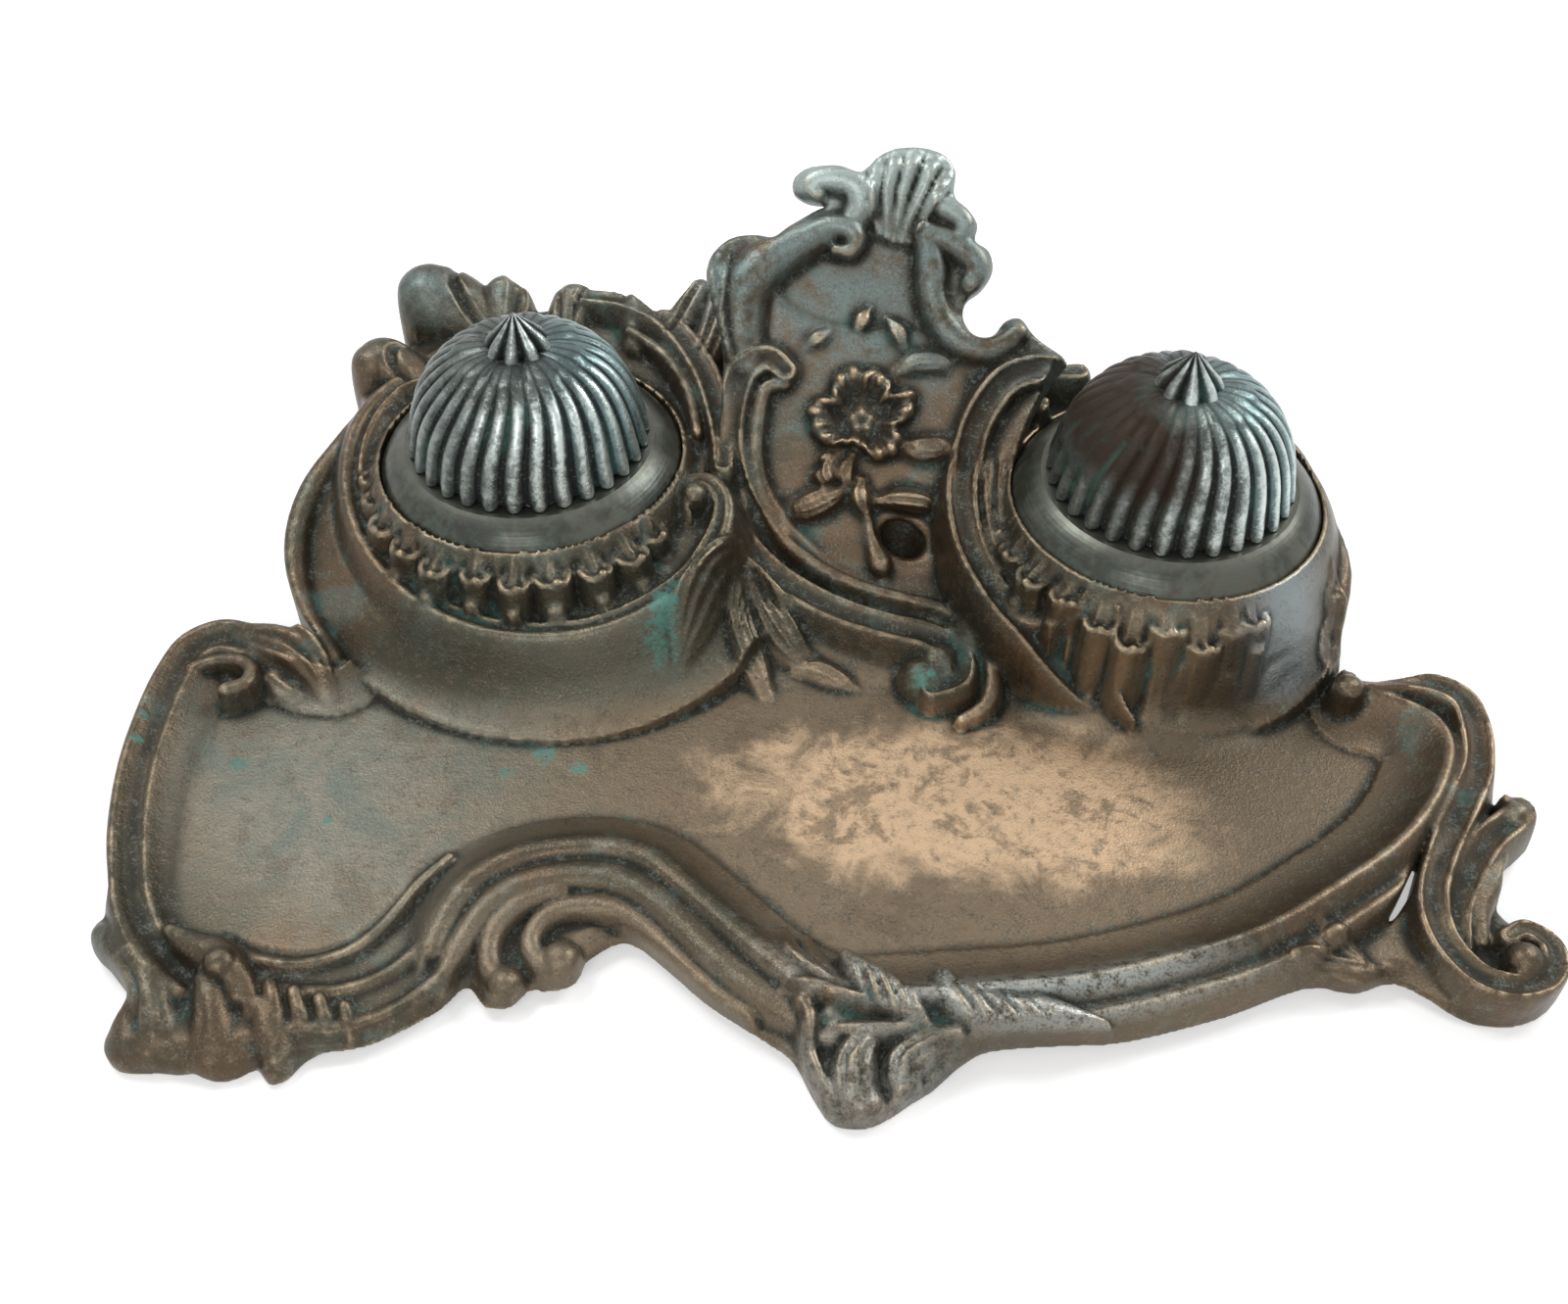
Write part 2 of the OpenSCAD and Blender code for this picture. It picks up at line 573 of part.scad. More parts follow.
module hinge_bracket() {
    difference() {
        union() {
            translate([-middle_knuckle / 2, hinge_y, hinge_z]) rotate([0, 90, 0])
                cylinder(h = middle_knuckle, r = knuckle_radius);
            translate([-middle_knuckle / 2, hinge_y - bracket_half, bracket_z])
                cube([middle_knuckle, 2 * bracket_half, hinge_z - bracket_z]);
        }
        translate([-middle_knuckle / 2 - cut, hinge_y, hinge_z]) rotate([0, 90, 0])
            cylinder(h = middle_knuckle + 2 * cut, r = pin_radius + pin_slack);
    }
}

pin_head = 0.8;

module hinge_pin() {
    translate([-hinge_length / 2 - 0.2, hinge_y, hinge_z]) rotate([0, 90, 0]) {
        cylinder(h = hinge_length + 0.6, r = pin_radius);
        translate([0, 0, -pin_head]) cylinder(h = pin_head, r = knuckle_radius - 0.8);
    }
}

// The lid's leaf: a curved plate under the rim, and its two knuckles.
module lid_leaf() {
    leaf_inside = max(lid_inside - 0.6, rim_seat + slack);
    difference() {
        union() {
            translate([0, 0, lid_z - leaf_thick]) linear_extrude(leaf_thick) difference() {
                translate([-hinge_length / 2, 0]) square([hinge_length, hinge_y]);
                circle(leaf_inside);
            }
            for (side = [left, right]) translate([0, hinge_y, hinge_z]) rotate([0, 90, 0])
                translate([0, 0, side < 0 ? -hinge_length / 2 : middle_knuckle / 2 + knuckle_gap])
                    cylinder(h = (hinge_length - middle_knuckle) / 2 - knuckle_gap, r = knuckle_radius);
        }
        // The middle knuckle turns here.
        translate([-middle_knuckle / 2 - knuckle_gap, hinge_y - knuckle_radius - 0.2, 0])
            cube([middle_knuckle + 2 * knuckle_gap, 10, collar_top + 10]);
        translate([-hinge_length / 2 - cut, hinge_y, hinge_z]) rotate([0, 90, 0])
            cylinder(h = hinge_length + 2 * cut, r = pin_radius + pin_slack);
    }
}

// ---- Collar screws ----

module collar_screws() {
    head_radius = screw_radius + 1.4;
    head_height = 1.8;
    at_screws() {
        translate([0, 0, collar_seat - seat_thick]) cylinder(h = seat_thick + thread_length, r = screw_radius);
        translate([0, 0, collar_seat - seat_thick - head_height]) cylinder(h = head_height, r = head_radius);
    }
}

// ---- Ink cups ----

module ink_cup() {
    base_z = collar_top - cup_height;
    rotate_extrude() polygon([
        [0, base_z], [cup_radius - 3, base_z], [cup_radius, base_z + 3],
        [cup_radius, collar_top - cup_rim_thick], [cup_radius + cup_rim_overhang, collar_top - cup_rim_thick],
        [cup_radius + cup_rim_overhang, collar_top - 0.6], [cup_radius + cup_rim_overhang - 0.6, collar_top],
        [cup_radius - cup_wall, collar_top], [cup_radius - cup_wall, base_z + cup_wall + 2],
        [cup_radius - cup_wall - 3, base_z + cup_wall], [0, base_z + cup_wall]]);
}

// ---- Lids: ribbed domes ----

dome_angles = [0, 10, 22, 36, 50, 64, 77, 90];
stud_radius = 2;
crown_radius = 5;

// A ring of points of a dome, at an angle up from the rim, with flutes of the depth given.
function dome_ring(a, rim, top, height, depth) =
    let (n = 2 * rib_count, r = top + (rim - top) * pow(cos(a), 0.8), z = height * sin(a),
        fade = 0.3 + 0.7 * cos(a))
    [for (k = [0 : n - 1]) let (turn = k * 360 / n + rib_turn * (1 - a / 90), q = r - (k % 2) * depth * fade)
        [q * cos(turn), q * sin(turn), lid_z + z]];

module lid() {
    n = 2 * rib_count;
    bore = [for (z = [lid_height, lid_height - lid_wall]) [for (k = [0 : n - 1])
        let (turn = k * 360 / n, r = stud_radius + pin_slack) [r * cos(turn), r * sin(turn), lid_z + z]]];
    outside = [for (a = dome_angles) dome_ring(a, lid_radius, crown_radius, lid_height, rib_depth)];
    inside = [for (a = [90, 70, 50, 30, 15, 0])
        dome_ring(a, lid_inside, crown_radius, lid_height - lid_wall, 0)];
    rings = concat(outside, bore, inside);
    m = len(rings);
    function at(i, k) = (i % m) * n + k % n;
    walls = [for (i = [0 : m - 1], k = [0 : n - 1]) each
        [[at(i, k), at(i + 1, k), at(i + 1, k + 1)], [at(i, k), at(i + 1, k + 1), at(i, k + 1)]]];
    polyhedron([for (ring = rings) each ring], walls);
}

// ---- Knops: lobed buds with a stud through the lid ----

bud_profile = [[0.55, 0], [0.5, 0.12], [0.78, 0.24], [1, 0.42], [0.94, 0.6], [0.66, 0.8], [0.3, 0.95]];
stud_length = 4.5;

module knop() {
    n = 4 * knop_lobes;
    crown_z = lid_z + lid_height;
    rings = [for (p = bud_profile) each [for (k = [0 : n - 1])
        let (r = knop_radius * p[0] * (0.9 + 0.1 * cos(k * 360 * knop_lobes / n)))
        [r * cos(k * 360 / n), r * sin(k * 360 / n), crown_z + knop_height * p[1]]]];
    function at(i, k) = i * n + k % n;
    m = len(bud_profile);
    walls = [for (i = [0 : m - 2], k = [0 : n - 1])
        each [[at(i, k), at(i + 1, k), at(i + 1, k + 1)], [at(i, k), at(i + 1, k + 1), at(i, k + 1)]]];
    ends = [for (k = [0 : n - 1]) each
        [[m * n, at(0, k), at(0, k + 1)], [m * n + 1, at(m - 1, k + 1), at(m - 1, k)]]];
    polyhedron(concat(rings, [[0, 0, crown_z], [0, 0, crown_z + knop_height]]), concat(walls, ends));
    translate([0, 0, crown_z - lid_wall - stud_length])
        cylinder(h = lid_wall + stud_length + 1, r = stud_radius);
}

nut_thick = 3;
nut_radius = 4.6;

module knop_nut() {
    translate([0, 0, lid_z + lid_height - lid_wall - nut_thick]) difference() {
        cylinder(h = nut_thick, r = nut_radius, $fn = 6);
        translate([0, 0, -cut]) cylinder(h = nut_thick + 2 * cut, r = stud_radius + pin_slack);
    }
}

// From a well's own frame to the stand's.
module at_well(side) {
    translate([well_x(side), well_y, 0]) children();
}

tray_casting();
color(collar_bronze) at_well(left) collar();  // left_collar
color(steel) at_well(left) collar_screws();  // left_collar_screws
color(glass) at_well(left) ink_cup();  // left_ink_cup
color(brass) at_well(left) hinge_bracket();  // left_hinge_bracket
color(steel) at_well(left) hinge_pin();  // left_hinge_pin
color(lid_bronze) at_well(left) lid();  // left_lid
color(brass) at_well(left) lid_leaf();  // left_lid_leaf
color(knop_bronze) at_well(left) knop();  // left_knop
color(brass) at_well(left) knop_nut();  // left_knop_nut
color(collar_bronze) at_well(right) collar();  // right_collar
color(steel) at_well(right) collar_screws();  // right_collar_screws
color(glass) at_well(right) ink_cup();  // right_ink_cup
color(brass) at_well(right) hinge_bracket();  // right_hinge_bracket
color(steel) at_well(right) hinge_pin();  // right_hinge_pin
color(lid_bronze) at_well(right) lid();  // right_lid
color(brass) at_well(right) lid_leaf();  // right_lid_leaf
color(knop_bronze) at_well(right) knop();  // right_knop
color(brass) at_well(right) knop_nut();  // right_knop_nut
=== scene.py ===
"""Looks of the desk inkstand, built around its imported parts."""
import math

import bmesh
import bpy
import numpy as np
import openvdb
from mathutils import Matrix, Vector


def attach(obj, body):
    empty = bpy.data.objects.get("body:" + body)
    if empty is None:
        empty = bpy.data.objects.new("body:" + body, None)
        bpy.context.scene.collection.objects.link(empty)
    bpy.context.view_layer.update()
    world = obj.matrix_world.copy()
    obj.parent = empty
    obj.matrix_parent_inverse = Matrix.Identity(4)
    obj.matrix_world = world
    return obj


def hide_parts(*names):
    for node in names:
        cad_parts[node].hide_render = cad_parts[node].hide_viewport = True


MM = 0.001


# ---- Curves and soft steps ----

def curve(points, steps=6, closed=False):
    """A smooth line through given points; any further columns run smoothly along with it."""
    p = np.array(points, float)
    n = len(p)
    spans = n if closed else n - 1
    line = []
    for i in range(spans):
        if closed:
            a, b, c, d = p[i - 1], p[i], p[(i + 1) % n], p[(i + 2) % n]
        else:
            a, b, c, d = p[max(i - 1, 0)], p[i], p[i + 1], p[min(i + 2, n - 1)]
        for t in np.arange(steps) / steps:
            line.append(0.5 * (2 * b + (c - a) * t + (2 * a - 5 * b + 4 * c - d) * t**2
                               + (3 * b - a - 3 * c + d) * t**3))
    line.append(p[0] if closed else p[-1])
    return np.array(line)


def ease(t):
    """Goes softly from 0 to 1 as t does, and stays there."""
    t = np.clip(t, 0, 1)
    return t * t * (3 - 2 * t)


def higher(a, b, soft):
    """The higher of two heights, with a fillet where they cross."""
    fillet = np.maximum(soft - np.abs(a - b), 0)
    return np.maximum(a, b) + fillet * fillet / (4 * soft)


def lower(a, b, soft):
    """The lower of two heights, with a fillet where they cross."""
    return -higher(-a, -b, soft)


def read_off(section, offset):
    """The value of a smooth section, given as (offset, value) points, at each offset."""
    line = curve(section, 8)
    order = np.argsort(line[:, 0])
    return np.interp(offset, line[order, 0], line[order, 1])


def lowest_near(field, cells):
    """The lowest value within a square of so many cells each way."""
    for axis in (0, 1):
        moved = field
        for shift in range(1, cells + 1):
            for way in (shift, -shift):
                moved = np.minimum(moved, np.roll(field, way, axis))
        field = moved
    return field


# The least half width of a bead or leaf, and the fillets at the foot of leaves and bosses.
THINNEST = 0.05
LEAF_FILLET = 0.5
BOSS_FILLET = 0.6


class Chart:
    """A sheet of heights over a grid of places, in millimetres, that mouldings and leaves are cut into."""

    def __init__(self, left, right, low, high, step):
        self.step = step
        self.us = np.arange(left, right + step / 2, step)
        self.vs = np.arange(low, high + step / 2, step)
        self.u, self.v = np.meshgrid(self.us, self.vs, indexing="ij")
        self.h = np.zeros_like(self.u)
        self.ground = self.h

    def settle(self):
        """Takes the present surface as the ground that leaves and beads rise from."""
        self.ground = self.h.copy()

    def near(self, points, reach):
        """The window round a path, with each place's distance to the left of it, its share of the way
        along, and the path's further columns there."""
        line = curve(points)
        lo = line[:, :2].min(0) - reach
        hi = line[:, :2].max(0) + reach
        i0 = max(int((lo[0] - self.us[0]) / self.step), 0)
        i1 = min(int((hi[0] - self.us[0]) / self.step) + 2, len(self.us))
        j0 = max(int((lo[1] - self.vs[0]) / self.step), 0)
        j1 = min(int((hi[1] - self.vs[0]) / self.step) + 2, len(self.vs))
        window = (slice(i0, i1), slice(j0, j1))
        u, v = self.u[window], self.v[window]
        best = np.full(u.shape, np.inf)
        side = np.zeros(u.shape)
        along = np.zeros(u.shape)
        columns = [np.zeros(u.shape) for _ in range(line.shape[1] - 2)]
        lengths = np.hypot(*np.diff(line[:, :2], axis=0).T)
        total = max(lengths.sum(), 1e-6)
        run = np.concatenate([[0], np.cumsum(lengths)])
        for k, length in enumerate(lengths):
            if length < 1e-9:
                continue
            (ax, ay), (bx, by) = line[k, :2], line[k + 1, :2]
            a0 = max(int((min(ax, bx) - reach - u[0, 0]) / self.step), 0)
            a1 = int((max(ax, bx) + reach - u[0, 0]) / self.step) + 2
            b0 = max(int((min(ay, by) - reach - v[0, 0]) / self.step), 0)
            b1 = int((max(ay, by) + reach - v[0, 0]) / self.step) + 2
            if a1 <= 0 or b1 <= 0:
                continue
            part = (slice(a0, a1), slice(b0, b1))
            du, dv = u[part] - ax, v[part] - ay
            ex, ey = (bx - ax) / length, (by - ay) / length
            t = np.clip(du * ex + dv * ey, 0, length)
            square = (du - t * ex) ** 2 + (dv - t * ey) ** 2
            closer = square < best[part]
            best[part] = np.where(closer, square, best[part])
            side[part] = np.where(closer, np.sign(ex * dv - ey * du + 1e-12), side[part])
            along[part] = np.where(closer, (run[k] + t) / total, along[part])
            for m, column in enumerate(columns):
                value = line[k, m + 2] + (line[k + 1, m + 2] - line[k, m + 2]) * t / length
                column[part] = np.where(closer, value, column[part])
        return window, side * np.sqrt(best), along, columns

    def mould(self, points, section, soft=0.8):
        """Lays a section along a path of (u, v, crest height, scale), where it is the higher."""
        scale_most = max(p[3] for p in points)
        reach = scale_most * max(abs(section[0][0]), abs(section[-1][0])) + 2
        window, distance, _, (crest, scale) = self.near(points, reach)
        offset = distance / scale
        height = crest + read_off(section, offset) * scale
        inside = (offset > section[0][0]) & (offset < section[-1][0]) & np.isfinite(distance)
        now = self.h[window]
        self.h[window] = np.where(inside, higher(now, height, soft), now)

    def bead(self, points, soft=0.8):
        """A round bar on the ground along (u, v, half width, height)."""
        reach = max(p[2] for p in points) + 2
        window, distance, _, (width, height) = self.near(points, reach)
        q = np.minimum(np.abs(distance) / np.maximum(width, THINNEST), 1)
        rise = self.ground[window] + height * np.sqrt(1 - q**2)
        now = self.h[window]
        self.h[window] = np.where(q < 1, higher(now, rise, soft), now)

    def groove(self, points):
        """A hollow along (u, v, half width, depth)."""
        reach = max(p[2] for p in points) + 1
        window, distance, _, (width, depth) = self.near(points, reach)
        q = np.minimum(np.abs(distance) / np.maximum(width, THINNEST), 1)
        cut = depth * (1 - q**2) ** 2
        self.h[window] = self.h[window] - np.where(q < 1, cut, 0)

    def leaf(self, points):
        """A lobed acanthus leaf on the ground along (u, v, half width, height). Its flutes leave the
        midrib and run out to the tips of the lobes."""
        lobes, slant, spread = 3, 0.55, 2.2
        reach = max(p[2] for p in points) * 1.1 + 1
        window, distance, along, (width, height) = self.near(points, reach)
        q = np.abs(distance) / np.maximum(width, THINNEST)
        stem = lobes * along - slant * q
        tip = stem - np.floor(stem)
        scallop = 1 - 0.30 * (2 * np.abs(tip - 0.5)) ** 2
        flute = 0.5 + 0.5 * np.cos(2 * np.pi * spread * (stem + 0.25 * np.sin(3 * q)))
        body = np.sqrt(np.clip(1 - (q / scallop) ** 3, 0, 1)) * np.clip((1.03 - along) * 5, 0, 1) ** 0.5
        midrib = np.exp(-((q / 0.12) ** 2))
        rise = body * (0.72 + 0.28 * q - 0.22 * flute * np.clip(q * 4, 0, 1)) - 0.3 * midrib * body
        inside = (q < scallop) & np.isfinite(distance)
        now = self.h[window]
        new = higher(now, self.ground[window] + height * rise, LEAF_FILLET)
        self.h[window] = np.where(inside, new, now)

    def bloom(self, u, v, rim, height):
        """A cupped flower with a ruffled, rolled lip; rim is its outline as (degrees, radius)."""
        du, dv = self.u - u, self.v - v
        far = np.hypot(du, dv)
        angle = np.degrees(np.arctan2(dv, du)) % 360
        reach = read_off(rim, angle) * (1 + 0.025 * np.sin(np.radians(angle * 15)))
        q = np.minimum(far / reach, 1)
        lip = read_off([(-0.1, -0.5), (0, -0.5), (0.2, -0.35), (0.42, 0.1), (0.62, 0.6), (0.78, 0.96),
                        (0.88, 0.95), (0.96, 0.7), (1, 0.1), (1.1, -0.4)], q)
        flutes = 1 + 0.13 * np.cos(np.radians(angle * 20) + 2 * q) * ease(q * 3 - 0.8)
        new = self.ground + height * lip * flutes
        self.h = np.where(far < reach, higher(new, self.ground - 2.4, 0.6), self.h)

    def petal(self, points, flutes, depth=0.25):
        """A smooth leaf with flutes along it, on the ground along (u, v, half width, height)."""
        reach = max(p[2] for p in points) + 2
        window, distance, along, (width, height) = self.near(points, reach)
        q = distance / np.maximum(width, THINNEST)
        body = np.sqrt(np.clip(1 - q**2, 0, 1)) * np.clip((1.02 - along) * 6, 0, 1) ** 0.5
        rise = body * (1 - depth * (0.5 + 0.5 * np.cos(2 * np.pi * flutes * q)))
        inside = (np.abs(q) < 1) & np.isfinite(distance)
        now = self.h[window]
        new = higher(now, self.ground[window] + height * rise, LEAF_FILLET)
        self.h[window] = np.where(inside, new, now)

    def boss(self, u, v, radius, height, top=None):
        """A ball half sunk in the ground, or with its top at a stated height."""
        far = np.hypot(self.u - u, self.v - v)
        dome = np.sqrt(np.clip(1 - (far / radius) ** 2, 0, 1))
        base = self.ground if top is None else top - height
        self.h = np.where(far < radius, higher(self.h, base + height * dome, BOSS_FILLET), self.h)

    def pit(self, u, v, radius, depth):
        """A round hollow with soft sides."""
        far = np.hypot(self.u - u, self.v - v)
        self.h = self.h - depth * np.clip(1 - (far / radius) ** 2, 0, 1) ** 1.5


def outline_distance(chart, points, steps):
    """How far each place of a chart lies outside a closed outline; negative inside."""
    line = curve(points, steps, closed=True)
    best = np.full(chart.u.shape, np.inf)
    inside = np.zeros(chart.u.shape, bool)
    for (ax, ay), (bx, by) in zip(line[:-1, :2], line[1:, :2]):
        length2 = (bx - ax) ** 2 + (by - ay) ** 2 + 1e-12
        t = np.clip(((chart.u - ax) * (bx - ax) + (chart.v - ay) * (by - ay)) / length2, 0, 1)
        du, dv = chart.u - ax - t * (bx - ax), chart.v - ay - t * (by - ay)
        best = np.minimum(best, du**2 + dv**2)
        if ay != by:
            across = (bx - ax) * (chart.v - ay) / (by - ay) + ax
            inside ^= ((ay > chart.v) != (by > chart.v)) & (chart.u < across)
    return np.sqrt(best) * np.where(inside, -1, 1)


def blur(field, radius):
    """A box blur, run twice, over a whole number of cells."""
    for _ in range(2):
        for axis in (0, 1):
            pad = [(0, 0), (0, 0)]
            pad[axis] = (radius + 1, radius)
            total = np.cumsum(np.pad(field, pad, mode="edge"), axis=axis)
            width = 2 * radius + 1
            if axis == 0:
                field = (total[width:] - total[:-width]) / width
            else:
                field = (total[:, width:] - total[:, :-width]) / width
    return field


# ---- Sections of the mouldings: (offset to the left of the path, height over its crest) ----

BAR = [(-1.2, -1.5), (-1, -0.7), (-0.6, -0.18), (0, 0), (0.6, -0.18), (1, -0.7), (1.2, -1.5)]
# From the outside in: the outer bead, a shallow hollow and a thin inner ridge.
LOBE_RIM = [(-5, -9), (-3.2, -5), (-2, -1.8), (-0.9, -0.25), (0, 0), (1.1, -0.5), (2.6, -2), (4.4, -2.7),
            (6, -2.2), (6.9, -1.9), (7.8, -2.6), (10, -4.6), (13, -6.4), (16, -7.6)]
# The thin crest of the pan's front edge, a flat band and a fuller bead below it.
FRONT_RIM = [(-13.5, -11.5), (-11, -9.6), (-9.4, -6.2), (-8, -4.2), (-6.6, -3.6), (-5.2, -4.3),
             (-4, -4.1), (-2.4, -1.9), (-1.1, -0.35), (0, 0), (1, -0.5), (2.4, -1.9), (5, -4.2), (8, -6),
             (11, -7), (14, -7.6)]
ARCH_RIM = [(-5, -5), (-3.4, -2.6), (-2, -0.7), (0, 0), (2, -0.5), (3.6, -1.6), (6, -3.6), (9, -5.6),
            (12, -7)]
# A band with a raised edge each side.
SCROLL = [(-1.5, -1.6), (-1.2, -0.7), (-0.95, -0.1), (-0.72, 0), (-0.45, -0.28), (0, -0.42), (0.45, -0.28),
          (0.72, 0), (0.95, -0.1), (1.2, -0.7), (1.5, -1.6)]
# The ring round a well, from its thin inner lip outwards: a groove, a full round band and the slope below.
RING = [(-2.2, -2.6), (-1.3, -1.5), (-0.55, -0.5), (0, 0), (0.5, -0.45), (1.1, -1.3), (1.8, -1.15),
        (2.6, -0.3), (3.6, 0.1), (4.7, -0.2), (5.6, -1.2), (6.5, -2.9), (8, -6.2), (10, -10.4),
        (12.5, -14), (15, -16.6), (18, -18.4), (20.5, -19.4)]
THIN_RING = [(-2, -2.4), (-1.2, -1.3), (-0.5, -0.4), (0, 0), (0.5, -0.4), (1.2, -1.5), (2, -3), (2.8, -5.8),
             (3.6, -9.4), (4.4, -12.8), (5.4, -15.6), (7, -17.6), (9, -19)]
THIN_SLOPE = [(-1, -1), (0, 0), (1.2, -1.4), (2.2, -2.1), (3.6, -3), (5, -4.8), (6.4, -8), (8, -11.6),
              (10.5, -15), (13, -17)]

FLOOR = 7.5
LEFT_WELL = (-80, 45)
RIGHT_WELL = (80, 45)
# Where each ring wall stands, from the centre of its well, and the platform inside it.
LEFT_RING = 53
RIGHT_RING = 47
PLATFORM = 32
PLATFORM_RISE = 0.21

OUTLINE = [
    (-127, -3), (-134, 0), (-142, 2.5), (-153, 4.5), (-161, 0), (-165, -10), (-165.8, -24), (-164, -44),
    (-159, -64), (-153, -78), (-154.5, -82), (-155.5, -86), (-153, -91), (-148, -94.5), (-143, -98.5),
    (-141.5, -103), (-143.5, -108), (-143, -112.5), (-138.5, -116), (-131, -115.4), (-124, -115.8),
    (-118, -116.4), (-113.5, -114.6), (-110.5, -112.6), (-107, -115.6), (-103.4, -114.6), (-101, -110.2),
    (-96, -108.8), (-92, -108), (-87, -106), (-80, -101), (-74, -95.5), (-70.5, -90.5), (-66, -95),
    (-60.5, -94.5), (-57, -90), (-52.5, -90), (-47.5, -87), (-45.5, -81), (-38, -76), (-28.5, -82),
    (-19, -89.5), (-8, -96), (1, -101.5), (5.5, -108), (10, -113.5), (17, -113.5), (22, -110.5),
    (26, -107), (33, -101.5), (39.6, -96), (46, -94), (58, -92), (70, -90), (91, -82), (109, -73),
    (119, -73.5), (128, -70), (138, -75), (149, -77), (158, -74), (164, -67), (164, -58.5), (158, -53.5),
    (154, -49), (154.5, -41), (160.5, -34), (164, -29.5), (163, -23), (157, -21.5), (157, -15),
    (158.5, -4), (156.5, 8), (150, 13), (140, 11.5), (129, 9), (124.5, 18), (127, 33), (124, 48),
    (119, 58), (115, 67), (107, 78), (95, 86), (80, 89), (64, 87), (52, 84), (42, 80), (20, 76), (-5, 76),
    (-19, 80), (-24, 89), (-28, 100), (-31, 110), (-36, 115), (-42, 111), (-47, 103), (-53, 98),
    (-59, 99), (-66, 104), (-74, 108), (-84, 108.5), (-92, 105.5), (-99, 109), (-107, 112.5), (-114, 113),
    (-121, 114), (-127, 111), (-129, 104), (-127, 95), (-124, 88), (-130, 86.5), (-136, 82), (-136, 74),
    (-131.5, 68), (-132, 60), (-135.5, 50), (-140, 40), (-141.5, 28), (-139.5, 16), (-134, 5)]

# The three-cornered hole between the pan's rim and the right scroll.
RIM_HOLE = [(139, -34), (136.4, -41), (133, -50), (130, -54), (127, -57), (131, -50), (135, -42)]

# Behind this line the casting's wall goes down to the table; the rear leaves overhang it.
REAR_WALL = [(-200, -200), (200, -200), (200, 20), (127, 32), (122, 55), (110, 72), (94, 83), (78, 87),
             (60, 86), (42, 80), (20, 74), (-5, 74), (-30, 84), (-52, 94), (-78, 98), (-104, 96), (-122, 84),
             (-132, 70), (-137, 48), (-141, 28), (-200, 20)]


def back_line(x):
    """Where the pan's floor meets the slope up to the wells."""
    return np.interp(x, [-122, -105, -85, -66, -48, -35, -20, 10, 37, 56, 80, 104, 123],
                     [-13, -18, -21, -19, -11, -4, -2, -1, 0, -2, -5, 1, 7])


def lay_ground(tray):
    """The dished floor of the pan, the slope behind it and the sloping platforms round the wells."""
    x, y = tray.u, tray.v
    outside = np.where(x < 0, np.hypot(x - LEFT_WELL[0], y - LEFT_WELL[1]) - LEFT_RING,
                       np.hypot(x - RIGHT_WELL[0], y - RIGHT_WELL[1]) - RIGHT_RING)
    outer = np.clip(outside, 0, None) * (np.abs(x) > RIGHT_WELL[0])
    platform = PLATFORM + PLATFORM_RISE * (y - LEFT_WELL[1]) - 0.5 * outer
    centre = read_off([(-60, 8), (-12, 8), (-3, 9.5), (5, 12), (12, 15), (20, 17), (28, 18.5), (34, 21.5),
                       (50, 36.5), (90, 76)], y)
    share = ease((x + 30) / 9) * ease((36 - x) / 9)
    upper = platform * (1 - share) + centre * share
    rise = np.clip((y - back_line(x)) / 16, 0, 1)
    slope = 0.5 * ease(rise) + 0.5 * rise**1.6
    dish = 0.9 * np.clip(1 - ((x - 20) / 150) ** 2 - ((y + 45) / 60) ** 2, 0, 1)
    tray.h = FLOOR + (upper - FLOOR) * slope - dish
    # Outside the rim the casting falls to its lower edge.
    inside = -outline_distance(tray, OUTLINE, 3)
    fall = 4.2 + 0.75 * np.clip(inside, 0, None) + 3.2 * ease((inside - 3) / 6)
    front = 1 - ease((y - back_line(x) + 4) / 10)
    tray.h = np.where(front > 0, tray.h + (lower(tray.h, fall, 1.5) - tray.h) * front, tray.h)
    tray.settle()


